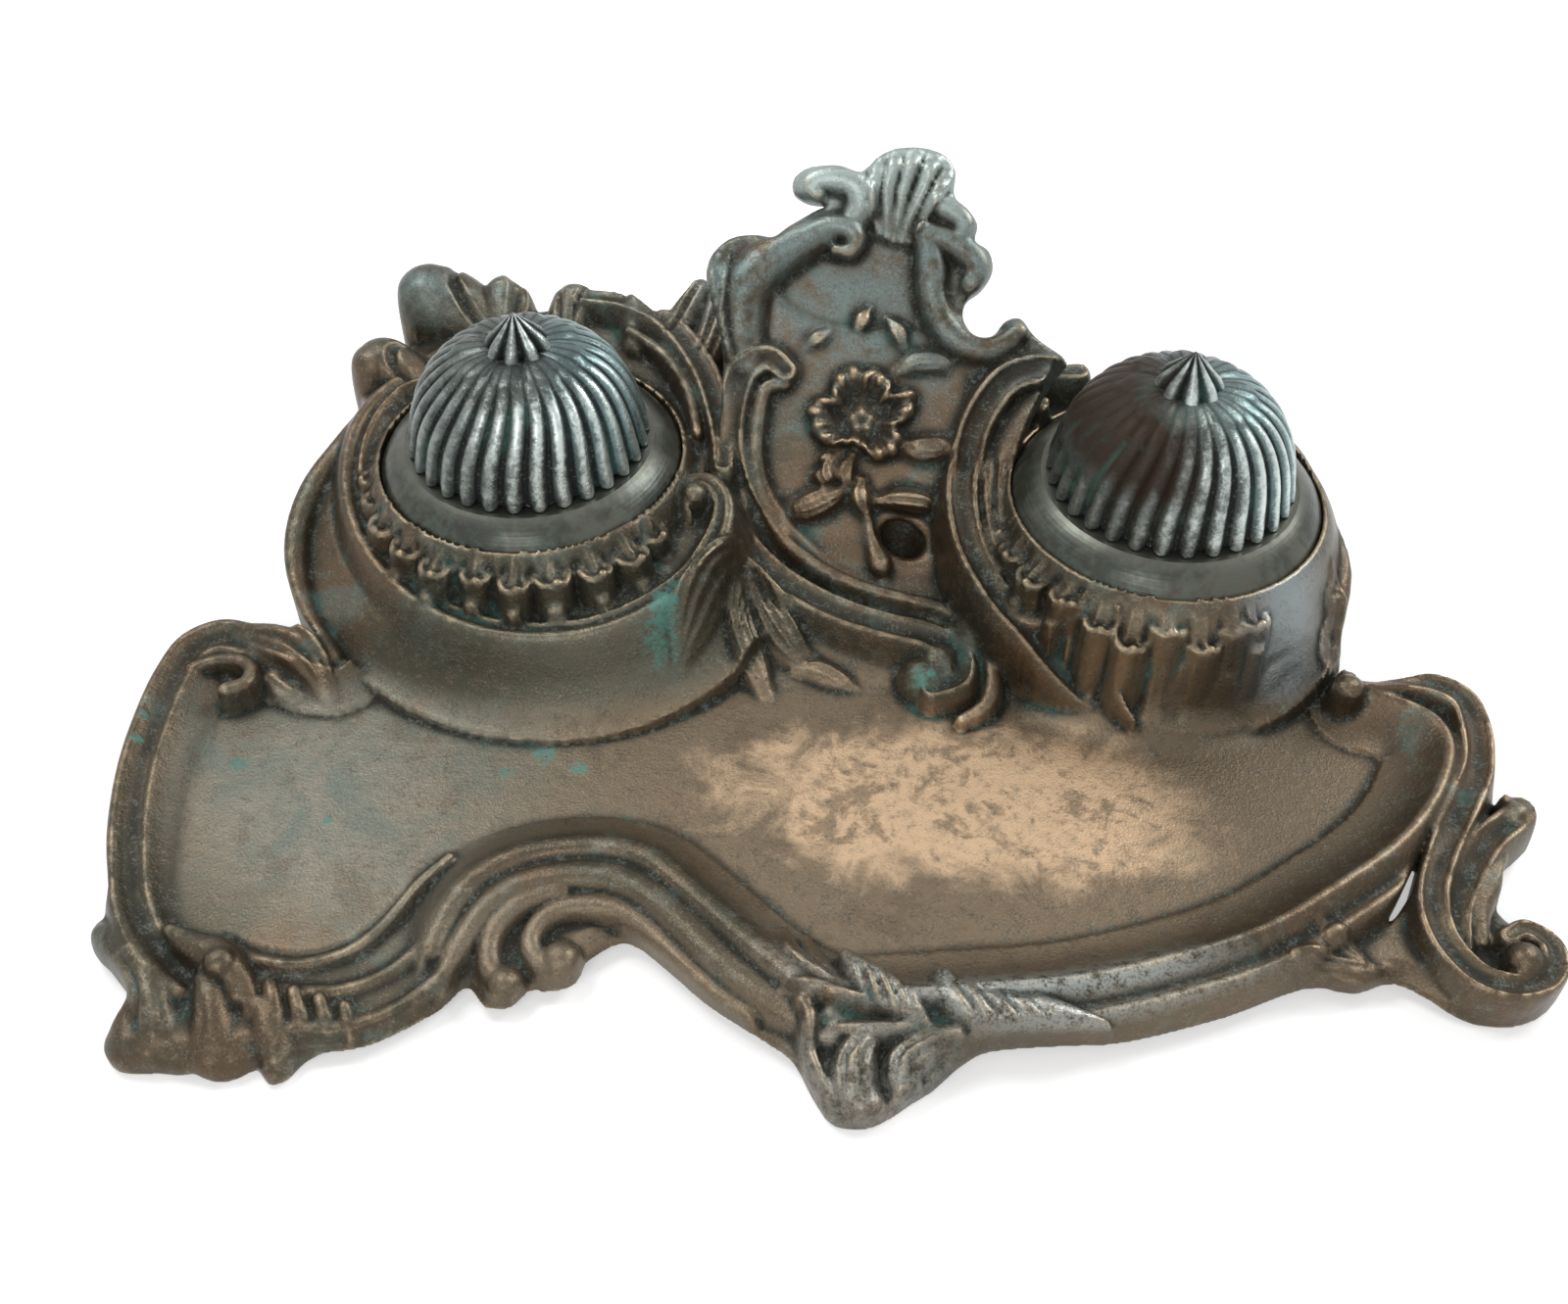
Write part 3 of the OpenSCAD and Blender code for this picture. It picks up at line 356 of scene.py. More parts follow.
def cut_rims(tray):
    """The rim round the pan: left lobe, front arch and the long sweep at the right."""
    lobe = [(-124, -5, 16), (-133, -2.5, 16), (-142, 0, 15.5), (-153, 1.5, 15.5), (-161, -4, 15),
            (-163, -14, 15), (-163, -27, 15), (-161.5, -44, 14.5), (-157, -63, 14), (-150, -81, 13),
            (-141, -93, 12), (-130, -100, 10)]
    tray.mould([(*p, 1) for p in lobe], LOBE_RIM)
    tray.mould([(-157, -12, 13.4, 1.6), (-152, -9.5, 14, 1.8), (-146, -9, 14.5, 1.9), (-141.5, -12, 15, 2),
                (-141, -17, 15.5, 2), (-145, -20, 15.8, 2)], BAR)
    # The lower left: a wide hollow between the edge of the floor and the outer edge.
    tray.mould([(-125, -86.5, 8.2, 1.2), (-118, -89.8, 8.8, 1.4), (-107, -90.8, 9.2, 1.5),
                (-97, -87, 9.7, 1.5), (-91, -79.5, 9.9, 1.4), (-86, -68.5, 10.2, 1.3),
                (-81, -60, 9.6, 1)], BAR, 1.6)
    tray.groove([(-125, -84, 1.2, 0.3), (-118, -87, 1.2, 0.6), (-107, -88, 1.2, 0.7),
                 (-98.6, -84.6, 1.2, 0.7), (-93, -78, 1.2, 0.6), (-88.5, -68.5, 1, 0.3)])
    tray.mould([(-117, -96, 8.2, 1.4), (-106, -97, 8.5, 1.6), (-96, -96, 8.9, 1.6), (-87, -91, 9.2, 1.6),
                (-80.5, -82, 9.6, 1.5), (-77, -73, 10, 1.2)], BAR, 2.2)
    tray.mould([(-104, -105.5, 7.6, 1.4), (-94, -104.6, 8, 1.7), (-84, -99.6, 8.4, 1.8), (-76, -91, 9, 1.8),
                (-72, -83, 9.5, 1.6)], BAR, 1.6)
    # The arch: an inner ridge, the full round bar and the outer scroll.
    arch = [(-79, -84, 11), (-77, -75, 12.6), (-72, -66, 13.6), (-62, -59.5, 14.2), (-48, -56.5, 14.4),
            (-36, -58.5, 14.4), (-24, -67.5, 14.4), (-12, -77.5, 14.4), (-1, -85.5, 14.4), (10, -89, 14.4)]
    tray.mould([(*p, 1) for p in arch], ARCH_RIM)
    tray.mould([(-76, -93, 8, 2.2), (-74, -84, 10.4, 3), (-69, -73, 12.4, 3.6), (-61, -66.5, 13.4, 4),
                (-48, -63.5, 13.8, 4.2), (-37, -66, 13.8, 4.2), (-26, -74, 13.4, 4.2), (-16, -83, 13, 4),
                (-5, -90.5, 12, 3.6), (5, -95, 11, 3)], BAR, 1.2)
    tray.mould([(-51.5, -85.5, 9.6, 3.4), (-55.5, -85, 9.8, 2.6), (-58.4, -80, 10.6, 2.4),
                (-55.5, -73.6, 11.4, 2.6), (-48, -70.5, 11.8, 3), (-39, -71.5, 11.6, 3),
                (-30, -78, 11, 3), (-20, -87, 10.4, 3), (-10, -93.5, 9.6, 3)], BAR, 0.8)
    tray.mould([(-62, -91, 8.6, 3.6), (-66.4, -86, 9.6, 2.8), (-66.6, -78, 11, 2.8), (-62, -71.5, 12, 2.8),
                (-54, -67.8, 12.6, 2.4)], BAR, 0.8)
    tray.boss(-51, -84, 5, 5.4, 11.4)
    tray.boss(-62, -90.5, 4.6, 4.8, 10)
    # The long sweep.
    sweep = [(8, -91, 14.6), (24, -88.5, 15), (38, -86, 15), (59, -82, 15.2), (79, -75, 15.4),
             (99, -65.5, 15.6), (117, -52, 16), (131, -39.5, 16), (141, -25.5, 16), (146.5, -11, 15.8),
             (145, -2, 15.6), (139, 3, 15.4), (131, 5.5, 16)]
    tray.mould([(*p, 1) for p in sweep], FRONT_RIM)


def cut_right_scrolls(tray):
    """The two S-scrolls outside the pan at the right, and the three-cornered web between."""
    tray.mould([(126, 8, 17, 2.6), (134, 9, 17, 3), (144, 9.5, 16.5, 3.4), (152, 6, 16, 3.8),
                (154, -3, 15.5, 4), (152.5, -15, 15, 4), (147, -27, 14.4, 4), (141, -39, 13.8, 3.8),
                (137, -51, 13, 3.6), (137.5, -62, 12.4, 3.5), (143, -70.5, 12, 3.4), (151, -73, 12, 3.2),
                (159, -69.5, 12, 3), (160.5, -62, 12, 2.6), (156, -58, 12, 2.2), (151.5, -60.5, 12.4, 1.8)],
               SCROLL, 0.8)
    tray.boss(154, -66, 4.2, 4, 14.4)
    # The thick leaf that turns back on itself.
    tray.mould([(141.5, -63, 10.5, 2.6), (142.5, -53, 11.4, 3.2), (147, -43, 12.4, 3.6),
                (152, -35, 13.4, 3.8), (158, -29.5, 14, 3.6), (161, -26.5, 14.2, 2.8),
                (159, -23, 14, 1.8)], SCROLL, 0.8)
    tray.boss(159.5, -27.5, 4, 4, 15)
    tray.mould([(147, -60, 10, 1.8), (147.5, -53, 11, 2.4), (151, -45.5, 12, 2.6), (156, -40, 12.6, 2)], BAR)
    tray.settle()
    tray.petal([(106, -70, 2.5, 1.5), (113, -71.5, 5, 4), (120, -72, 4.6, 4), (127, -69, 2.5, 2)], 2.5)
    tray.petal([(112, -62, 2, 1), (117, -66, 3.4, 3), (121, -70.5, 2.6, 2.4)], 2)


def cut_feet(tray):
    """The acanthus foot at the left and the shell foot in the middle."""
    tray.settle()
    # Left foot: an S-shaped ridge down its side, then broad toes with valleys between.
    for points in (
            [(-154, -84, 7, 1.6), (-152, -86, 9.4, 3.6), (-148.4, -88, 11, 4.4), (-144, -91.5, 12, 4.2),
             (-138.5, -97, 12.2, 4.2), (-134.5, -103, 11.4, 4.2), (-132.4, -108.5, 9.6, 4.6),
             (-133, -112, 7.4, 4.2)],
            [(-138.8, -101.5, 8.8, 2), (-139.4, -107, 7.6, 3.2), (-138, -111.6, 6, 3.4)],
            [(-125, -97, 11, 2.4), (-123, -100.5, 11.4, 3.4), (-121.2, -105, 10.4, 4.2),
             (-119.8, -110, 8.6, 4.6), (-119.6, -112.6, 7, 4.2)],
            [(-112, -101, 9.6, 2), (-109.6, -104.6, 9.4, 3), (-107.2, -108.4, 8.2, 3.6),
             (-105.6, -111, 7, 3.6)]):
        tray.mould(points, BAR, 2)
    tray.settle()
    for points in (
            [(-149, -90, 0.8, 0.3), (-142.6, -95.6, 1, 0.9), (-137.6, -101.6, 1, 1.1), (-136, -109, 1, 0.8)],
            [(-134, -101, 0.7, 0.3), (-131, -106.5, 0.8, 0.7), (-130.4, -111, 0.7, 0.4)],
            [(-123.5, -102, 0.7, 0.3), (-122, -107, 0.8, 0.7), (-121.6, -111.6, 0.7, 0.4)]):
        tray.groove(points)
    # The leaf's ragged edge that hangs over the toes.
    tray.mould([(-136, -86.5, 11.6, 1.6), (-131.6, -89, 12.6, 3), (-127, -90.6, 13.4, 3.8),
                (-122.4, -92.4, 13.6, 4), (-118.8, -96, 12.4, 3.4), (-116.8, -99.6, 10.6, 2.4)], BAR, 1.6)
    for points in (
            [(-116.4, -96, 11, 1.7), (-114.8, -99.6, 10.4, 1.9), (-113.4, -103.4, 8.6, 1.7)],
            [(-111, -97, 10.6, 1.7), (-109, -100.8, 10, 1.9), (-107.2, -104.6, 8.2, 1.6)],
            [(-105.4, -98, 10.2, 1.6), (-103.6, -101.6, 9.4, 1.8), (-101.8, -105, 7.8, 1.5)],
            [(-99.6, -99, 9.8, 1.5), (-97.8, -102.4, 9, 1.7), (-96.2, -105.6, 7.4, 1.4)],
            [(-94, -100, 9.4, 1.4), (-92.6, -103.2, 8.6, 1.5), (-91.2, -106.2, 7, 1.2)]):
        tray.mould(points, BAR, 1.2)
    tray.boss(-122, -94.4, 3.6, 3.4, 15)
    # Middle foot: the rim's end ties a knot over three rolled lobes.
    for points in (
            [(-2, -89, 1.6, 1), (2, -90, 2.6, 2.6), (7, -90.6, 2.2, 2.4), (13, -91.4, 1.2, 1.2)],
            [(1, -91, 1.8, 2), (3.6, -95, 2.1, 3.4), (3.4, -99.4, 2, 3.6), (5.4, -105, 2.1, 3.8),
             (8.4, -110, 2, 3)],
            [(6, -94.6, 1.4, 1), (12, -96.4, 2.2, 2), (19, -96.6, 2.4, 2.2), (26, -94.6, 1.6, 1.4)],
            [(38, -95.6, 1.2, 2), (33.4, -99.4, 1.7, 3.4), (29.6, -103.6, 1.5, 2.6)]):
        tray.bead(points, 1.2)
    for points in (
            [(16.6, -96.6, 12.4, 2.4), (13.8, -101.6, 12.8, 4), (13.8, -107, 11.4, 5),
             (16.4, -110.8, 8.6, 4.6)],
            [(34, -95.4, 12.4, 2), (28, -98.2, 12.8, 3.4), (23.6, -102.6, 11.8, 4),
             (24.2, -106.6, 9.4, 3.6)],
            [(10, -80, 14, 1.5), (13.6, -84.4, 16, 3.4), (19.6, -89, 16.6, 3.8), (25, -92.2, 15, 2.6),
             (27.6, -94, 13, 1)],
            [(30.6, -83, 14, 2), (34, -88.6, 16, 4.2), (43, -90.8, 16.2, 4.4), (52, -89.8, 15.4, 3.4),
             (60, -90.6, 14, 2), (67, -91.6, 12.6, 0.8)]):
        tray.mould(points, BAR, 0.6)
    for points in (
            [(15.4, -98, 0.7, 0.5), (11.8, -103.4, 0.9, 1.3), (12, -109, 0.8, 0.8)],
            [(17.4, -99, 0.7, 0.5), (15.2, -104, 0.9, 1.3), (16, -110.4, 0.8, 0.8)],
            [(31.6, -98.4, 0.7, 0.5), (25.8, -102, 0.9, 1.3), (25.6, -106.6, 0.8, 0.8)],
            [(29.6, -96.6, 0.7, 0.5), (23, -101, 0.9, 1.3), (21.8, -105.4, 0.8, 0.8)],
            [(12.4, -82, 0.7, 0.5), (14, -86, 0.9, 1.4), (16, -91, 0.7, 0.8)],
            [(15.2, -82.8, 0.7, 0.5), (17.2, -87.4, 0.9, 1.4), (19.4, -92.2, 0.7, 0.8)],
            [(18.8, -85.2, 0.7, 0.5), (20.8, -89.4, 0.9, 1.4), (22.6, -93, 0.7, 0.8)],
            [(22.4, -87.8, 0.7, 0.5), (23.8, -91, 0.8, 1), (25, -93.6, 0.6, 0.6)],
            [(32.6, -84.4, 0.7, 0.5), (35.4, -89, 1, 1.5), (39, -95, 0.7, 0.8)],
            [(37.4, -85.8, 0.7, 0.5), (40.4, -90.4, 1, 1.5), (43.6, -95, 0.7, 0.8)],
            [(42.6, -86.8, 0.7, 0.5), (45.4, -90.6, 1, 1.5), (48.8, -94.4, 0.7, 0.8)],
            [(48, -87, 0.7, 0.5), (50.8, -90.4, 0.9, 1.2), (54, -93, 0.7, 0.6)]):
        tray.groove(points)
    tray.boss(2.6, -91.6, 3, 3.6)
    tray.petal([(-4, -73, 1.2, 1), (-1.4, -79, 2.2, 2.4), (3, -83.6, 1.9, 2.2), (7, -86.4, 1, 1)], 1)
    tray.petal([(1, -73, 1, 0.8), (3.6, -79, 1.7, 1.8), (7.6, -84, 1, 1)], 1)


def fill_gutter(tray, ring, low, rise, most):
    """Raises the floor inside a ring to a sloping plane just under its lip."""
    inside = -outline_distance(tray, [p[:2] for p in ring], 3)
    share = ease((inside + 1) / 2)
    floor = np.maximum(np.minimum(low + rise * tray.v, most), tray.h)
    tray.h = tray.h + (floor - tray.h) * share


def around(centre, bearing):
    """Gives the place at any distance from a centre, in one direction in degrees."""
    way = math.radians(bearing)
    return lambda far: (centre[0] + far * math.cos(way), centre[1] + far * math.sin(way))


def ruffle(tray, well, foot, top, drop, sector, leaves):
    """The frieze that hangs from a collar: a pleated cone with curled acanthus leaves on it, pleated
    within a sector. Each leaf is (angle in degrees, how far its tip reaches past the foot, half width)."""
    x, y = tray.u - well[0], tray.v - well[1]
    far = np.hypot(x, y)
    angle = np.arctan2(y, x)
    degrees = np.degrees(angle) % 360
    share = ease((degrees - sector[0]) / 12) * ease((sector[1] - degrees) / 12)
    pleat = 0.5 - 0.5 * np.cos(angle * 66 + 2.6 * np.sin(angle * 9))
    q = (far + 1.2 * pleat * share * ease((far - 39) / 2.5) - 38) / (foot - 38)
    fall = read_off([(-0.4, 0), (0, 0), (0.2, 0.05), (0.5, 0.3), (0.76, 0.66), (1, 1), (1.5, 1.8)], q)
    cone = top - drop * fall
    tray.h = np.where((far > 36) & (q < 1.5), higher(tray.h, cone, 0.5), tray.h)
    tray.settle()
    for bearing, reach, width in leaves:
        place = around(well, bearing)
        tray.mould([(*place(39), top - 0.5, width * 0.45),
                    (*place(41.2), top - 2.4, width * 0.75),
                    (*place(foot - 1 + reach), top - 4.8, width),
                    (*place(foot + 0.8 + reach), top - 6.8, width * 0.9),
                    (*place(foot + 2 + reach), top - 9.4, width * 0.6)], BAR, 0.5)
        for turn in (-0.42, 0.42):
            groove_place = around(well, bearing + math.degrees(turn * width / foot))
            tray.groove([(*groove_place(39.6), 0.5, 0.3), (*groove_place(42), 0.65, 1.1),
                         (*groove_place(foot + reach), 0.6, 1.2)])
        curl_tip(tray, well, bearing, foot + reach, width, top - 4.4)


def curl_tip(tray, well, bearing, far, width, height):
    """The bright lip turned over round a leaf's end, with a knob at its middle."""
    wide = math.degrees(width / far)
    lip = []
    for turn, pull in ((-1.05, -3.2), (-0.85, -0.8), (-0.35, 0.7), (0.15, 0.9), (0.65, 0.4), (0.98, -0.9),
                       (1.1, -3)):
        place = around(well, bearing + turn * wide)(far + pull)
        lip.append((*place, height - 0.25 * max(pull, 0), 1.15))
    tray.mould(lip, BAR, 0.3)
    tray.boss(*around(well, bearing + 0.3 * wide)(far + 0.6), width * 0.42, 2.2, height + 0.9)


def cut_wells(tray):
    """Rings, gutters and leaf friezes round the two wells."""
    left_ring = [(-37.5, 33.5, 39, 0.55), (-37.8, 37, 39.4, 0.6), (-35.6, 39.6, 39.2, 0.7),
                 (-32.6, 37, 38.4, 0.8), (-31.5, 32, 36.6, 0.9), (-32.9, 24.6, 34.6, 1), (-38, 14, 32, 1),
                 (-47.4, 5, 30, 1.02), (-58.4, -1, 28.6, 1.02), (-71.6, -3.5, 28, 1),
                 (-84.6, -2.2, 28.2, 1), (-98, 3.2, 29.4, 1), (-110.5, 13.3, 31.4, 1),
                 (-119.6, 26.6, 34, 1.02), (-124.6, 42, 37, 1.02), (-124.6, 56, 39.6, 1),
                 (-120, 67, 41.6, 0.9), (-113, 72.5, 42, 0.7)]
    right_ring = [(58, 82, 49, 3), (48, 81, 48, 3.6), (38, 73, 45.5, 4), (31.5, 60, 42.5, 4.2),
                  (29.5, 44, 39, 4.2), (32.5, 28, 35, 4.2), (40, 14.5, 30.6, 3.8), (47, 7.6, 26.6, 3.2),
                  (54, 3, 20, 2.8), (61, 0.2, 13.5, 2.2), (66.5, -1, 9.6, 1.4)]
    gold_line = [(82, 0.5, 24.5, 0.8), (93, 2, 26.4, 0.9), (103, 8.6, 28.6, 1), (112.4, 20.5, 32, 1),
                 (117.4, 34, 35.6, 1), (118, 48, 39, 1), (113.6, 62, 42.6, 1), (103, 74, 45.6, 0.9),
                 (92, 80, 47, 0.7)]
    fill_gutter(tray, left_ring + [(-105, 84), (-80, 90), (-58, 86), (-42, 66), (-35, 50)], 27.2, 0.2, 38.5)
    fill_gutter(tray, right_ring[:-3] + gold_line[1:-1] + [(80, 84)], 25.6, 0.24, 40)
    tray.mould(left_ring, RING, 1)
    tray.boss(-37, 34.6, 3.4, 3.6, 41.6)
    # The scroll that comes up from behind the left well and runs down beside the crest.
    tray.mould([(-78, 103, 49, 2.5), (-64, 100, 50, 3), (-51, 92, 49.5, 3.4), (-40, 77, 47, 3.6),
                (-33.5, 60, 43.5, 3.2), (-31, 46, 40, 2.4)], SCROLL, 0.8)
    tray.mould([(-62, 92, 47, 1.4), (-51, 83, 46, 1.6), (-43, 70, 44.5, 1.6), (-39, 56, 42.5, 1.4)], BAR)
    tray.mould(right_ring, SCROLL, 1)
    # Two thin bars inside it.
    for inset, drop, width in ((4.6, 0.8, 1.3), (7.6, 0.4, 1.1)):
        tray.mould([(48 + inset * 0.4, 77 - inset, 47 - drop, width),
                    (38 + inset * 0.8, 69, 45 - drop, width),
                    (32.5 + inset, 57, 42.5 - drop, width),
                    (31.5 + inset, 43, 39.5 - drop, width),
                    (35 + inset * 0.8, 28, 36 - drop, width),
                    (43 + inset * 0.6, 16 + inset * 0.5, 32 - drop, width),
                    (54, 8 + inset * 0.8, 28 - drop, width * 0.8)], BAR)
    tray.mould(gold_line, [(-o, v) for o, v in THIN_RING[::-1]], 1)
    slope_line = [(92, 3, 16, 0.7), (98, 5, 21.6, 0.8), (105, 10, 27, 0.9)] + gold_line[3:]
    tray.mould(slope_line, [(-o, v) for o, v in THIN_SLOPE[::-1]], 1)
    # In front of the right well a fluted wall runs straight down to the pan.
    x, y = tray.u - RIGHT_WELL[0], tray.v - RIGHT_WELL[1]
    degrees = np.degrees(np.arctan2(y, x)) % 360
    front = ease((degrees - 232) / 9) * ease((300 - degrees) / 10)
    lobe = np.abs(np.sin(np.radians(degrees - 242) * 17))
    far = np.hypot(x, y)
    flute = 1.9 * (lobe - 0.6) + 0.3 * np.cos(np.radians(degrees) * 108)
    far = far - flute * ease((far - 40) / 4) * ease((52 - far) / 5)
    wall = read_off([(36, 40.8), (38.6, 40.4), (41.5, 38.4), (43.6, 34.6), (44.8, 29), (45.6, 23),
                     (46.6, 17.6), (48, 13.6), (50, 10.8), (53, 8.8), (57, 7), (62, 5)], far)
    tray.h = tray.h + (higher(tray.h, wall, 1) - tray.h) * front
    ruffle(tray, LEFT_WELL, 44.4, 41.4, 11, (176, 334), [
        (193, -1.6, 2.6), (205, -1.8, 3), (219, -0.6, 3.8), (234, -0.4, 4), (248, 1, 3.4), (262, -0.4, 3.4),
        (275, 1.6, 3.2), (287, 0.6, 4), (301, 1.2, 3.6), (314, 1.4, 3.8), (326, -1, 3)])
    ruffle(tray, RIGHT_WELL, 44, 40.6, 9, (190, 304), [
        (198, -1.6, 2.4), (208, 0.2, 3.2), (221, 1.6, 3.6), (234, 0.6, 3.2), (296, 0.4, 3.4)])
    tray.settle()
    # The curled ends of the broad leaves that hang in front of that wall.
    for bearing, reach, width, height in (
            (237, 43.6, 3, 36.2), (247.5, 45.6, 3.8, 33.6), (258, 46.8, 3.4, 31.6), (268.5, 44, 4, 35.6),
            (280, 45.8, 3.6, 32), (290, 43.8, 4.2, 35)):
        curl_tip(tray, RIGHT_WELL, bearing, reach, width, height)
    # One leaf among them stands out, its edge turned over.
    tray.bead([(67, 4.5, 0.9, 3), (66.8, 1, 1.3, 7), (69, -3, 1.2, 8), (74, -7, 0.8, 4)])


def cut_wall_leaves(tray):
    """The left wall's lip, the leaf where it meets the lobe, and leaves between and behind the wells."""
    tray.mould([(-125, 64, 40, 2.6), (-132, 52, 36.5, 3.2), (-137.5, 38, 32.5, 3.6), (-138.5, 24, 28.5, 3.8),
                (-135.5, 11, 24, 3.8), (-129.5, 0.5, 19.5, 3.6), (-123, -6.5, 16.5, 3)], BAR, 1.2)
    tray.settle()
    tray.petal([(-148, -1, 2, 1), (-139, -3, 4.5, 3), (-131, -6.5, 5.2, 4), (-124.5, -12, 4, 3),
                (-121, -17, 2, 1.2)], 2, 0.3)
    tray.petal([(-137, -13, 2, 1.5), (-133, -16, 2.6, 1.8), (-129, -17, 1.5, 1)], 1)
    # Knob and leaf bits where the right wall meets the pan's rim.
    tray.boss(125, 5, 4.2, 4.2, 19.4)
    tray.leaf([(121, 30, 1.5, 1.5), (122, 22, 3.4, 3.6), (122, 14, 3.4, 4), (123, 8, 2, 2)])
    # The bottom of the cartouche: its C-scroll ends in a broad volute over the pan.
    tray.mould([(-28.5, 42, 33, 3.6), (-25.5, 34, 27.5, 3.8), (-18, 26.5, 24, 4), (-8, 20.5, 21.5, 4.2),
                (3, 16.5, 19.5, 4.4), (14, 14.5, 18, 4.4), (24, 13, 17, 4.4), (31, 8.5, 16, 4.2),
                (31.5, 2, 14.5, 3.6), (25.5, -1.5, 13.5, 2.8)], SCROLL, 1)
    tray.mould([(-19, 40, 30, 1.6), (-13, 33.5, 26.5, 1.8), (-4, 28, 24, 1.8), (6, 24, 22.5, 1.8),
                (16, 22, 21.5, 1.8), (27, 20.5, 20, 1.8), (36, 15, 17.5, 2), (40, 6, 15, 2.2),
                (39, -3, 12.5, 2), (33, -8, 10.5, 1.4)], BAR)
    tray.boss(23.5, 4, 6.6, 5.5, 15.5)
    tray.boss(27, 8, 5, 4, 16.5)
    tray.pit(15, 42, 8, 15)
    tray.pit(18, 38, 6, 10)
    tray.settle()
    for points, flutes in (
            ([(-25, 24, 2.4, 2.4), (-30, 16, 4.8, 4.4), (-34, 7, 5, 4.6), (-36, 0, 3, 3.4),
              (-36, -4, 1, 1)], 2.5),
            ([(-24, 20, 2, 2.4), (-22.5, 11, 4, 4.6), (-19, 4, 4.2, 4.4), (-15, -3, 2, 2.2)], 2.5),
            ([(-22, 25, 2, 2.4), (-16.5, 16, 4.6, 4.6), (-11, 10, 4.6, 4.4), (-5, 6.5, 2, 2)], 2.5),
            ([(-9, 4.6, 1.4, 1.4), (-3, 4.6, 3, 3.2), (3, 2.6, 2.6, 2.6), (7, 1, 1, 1)], 1.5)):
        tray.petal(points, flutes, 0.3)
    # Behind the left well: rounded lobes that stand up and lean out, and ribbed leaves between them.
    for points in (
            [(-99, 95, 44, 6), (-106, 99, 49.5, 8.5), (-113, 101.5, 53, 10), (-119.5, 102, 54.5, 9.5)],
            [(-114, 73, 41, 4), (-121, 77, 44.5, 6), (-127.5, 79.5, 46, 6.6), (-130, 77.5, 45.6, 6)],
            [(-95, 92, 44, 5), (-97, 98, 48, 6.5), (-98.5, 104, 51.5, 6.6)],
            [(-80, 94, 44, 5), (-80, 100, 48, 6.6), (-79.5, 104, 50, 6.4)],
            [(-60, 90, 45, 4), (-60, 97, 50, 5), (-60.5, 101, 52, 4.6)],
            [(-52, 88, 45, 4), (-48, 96, 51, 5), (-45, 103, 55, 5)],
            [(-42, 82, 45, 4), (-39, 91, 51, 4.8), (-37, 100, 56, 5), (-37, 107, 58, 4.4)],
            [(-31, 76, 44, 3.4), (-28.5, 85, 49, 4), (-27, 93, 52, 3.6)]):
        tray.mould(points, BAR, 1.2)
    for points in (
            [(-103, 92, 2, 1.6), (-108, 96, 2.6, 2.6), (-113, 103, 2.4, 2.8), (-113, 109, 2, 2)],
            [(-119, 71, 1.5, 1.4), (-124, 75, 2.2, 2.4), (-124, 80, 2.2, 2.4), (-120, 82.6, 1.6, 1.4)],
            [(-96, 94, 1.8, 1.4), (-95, 99, 3, 2.6), (-95, 104, 3, 2.6), (-98, 108, 1.6, 1)],
            [(-82.5, 95, 0.9, 0.8), (-83, 101, 1.1, 1.6), (-83.4, 106, 1, 1)],
            [(-78.5, 95, 0.9, 0.8), (-78, 101, 1.1, 1.6), (-76.6, 106, 1, 1)],
            [(-51.5, 89, 0.8, 0.8), (-47.4, 97, 1, 1.6), (-44, 104, 0.9, 1)],
            [(-42, 84, 0.8, 0.8), (-39.6, 92, 1, 1.6), (-38.6, 101, 1, 1.6), (-38, 107, 0.8, 0.8)],
            [(-39.6, 82, 0.8, 0.8), (-36.4, 91, 1, 1.6), (-35, 101, 0.9, 1.2)]):
        tray.groove(points)


# ---- The crest: a sheet on a plane that leans back at 45 degrees ----

CREST_OUTLINE = [
    (-20, -28), (-25, -18), (-30, -8), (-33, 4), (-33, 16), (-34, 30), (-38, 42), (-39, 50), (-34, 56),
    (-27, 57.5), (-22.5, 57), (-19, 60), (-13, 64), (-9.5, 66), (-14, 66.2), (-18.3, 68.5), (-18.3, 72.5),
    (-14, 75.5), (-7, 76), (-2.5, 74.5), (0, 76), (3.5, 79.5), (8, 81.3), (14, 81.6), (19.5, 80), (22.5, 76),
    (22.5, 70), (26, 67), (29, 63), (28.5, 59), (32.3, 56.5), (33.6, 51.5), (31, 46.5), (27.5, 43.5),
    (27, 39), (30, 35.2), (34.5, 35), (37.5, 39), (41.5, 40), (45, 36), (48.5, 33.5), (54, 30), (57, 25),
    (55, 18), (50, 10), (44, -2), (38, -14), (32, -28)]


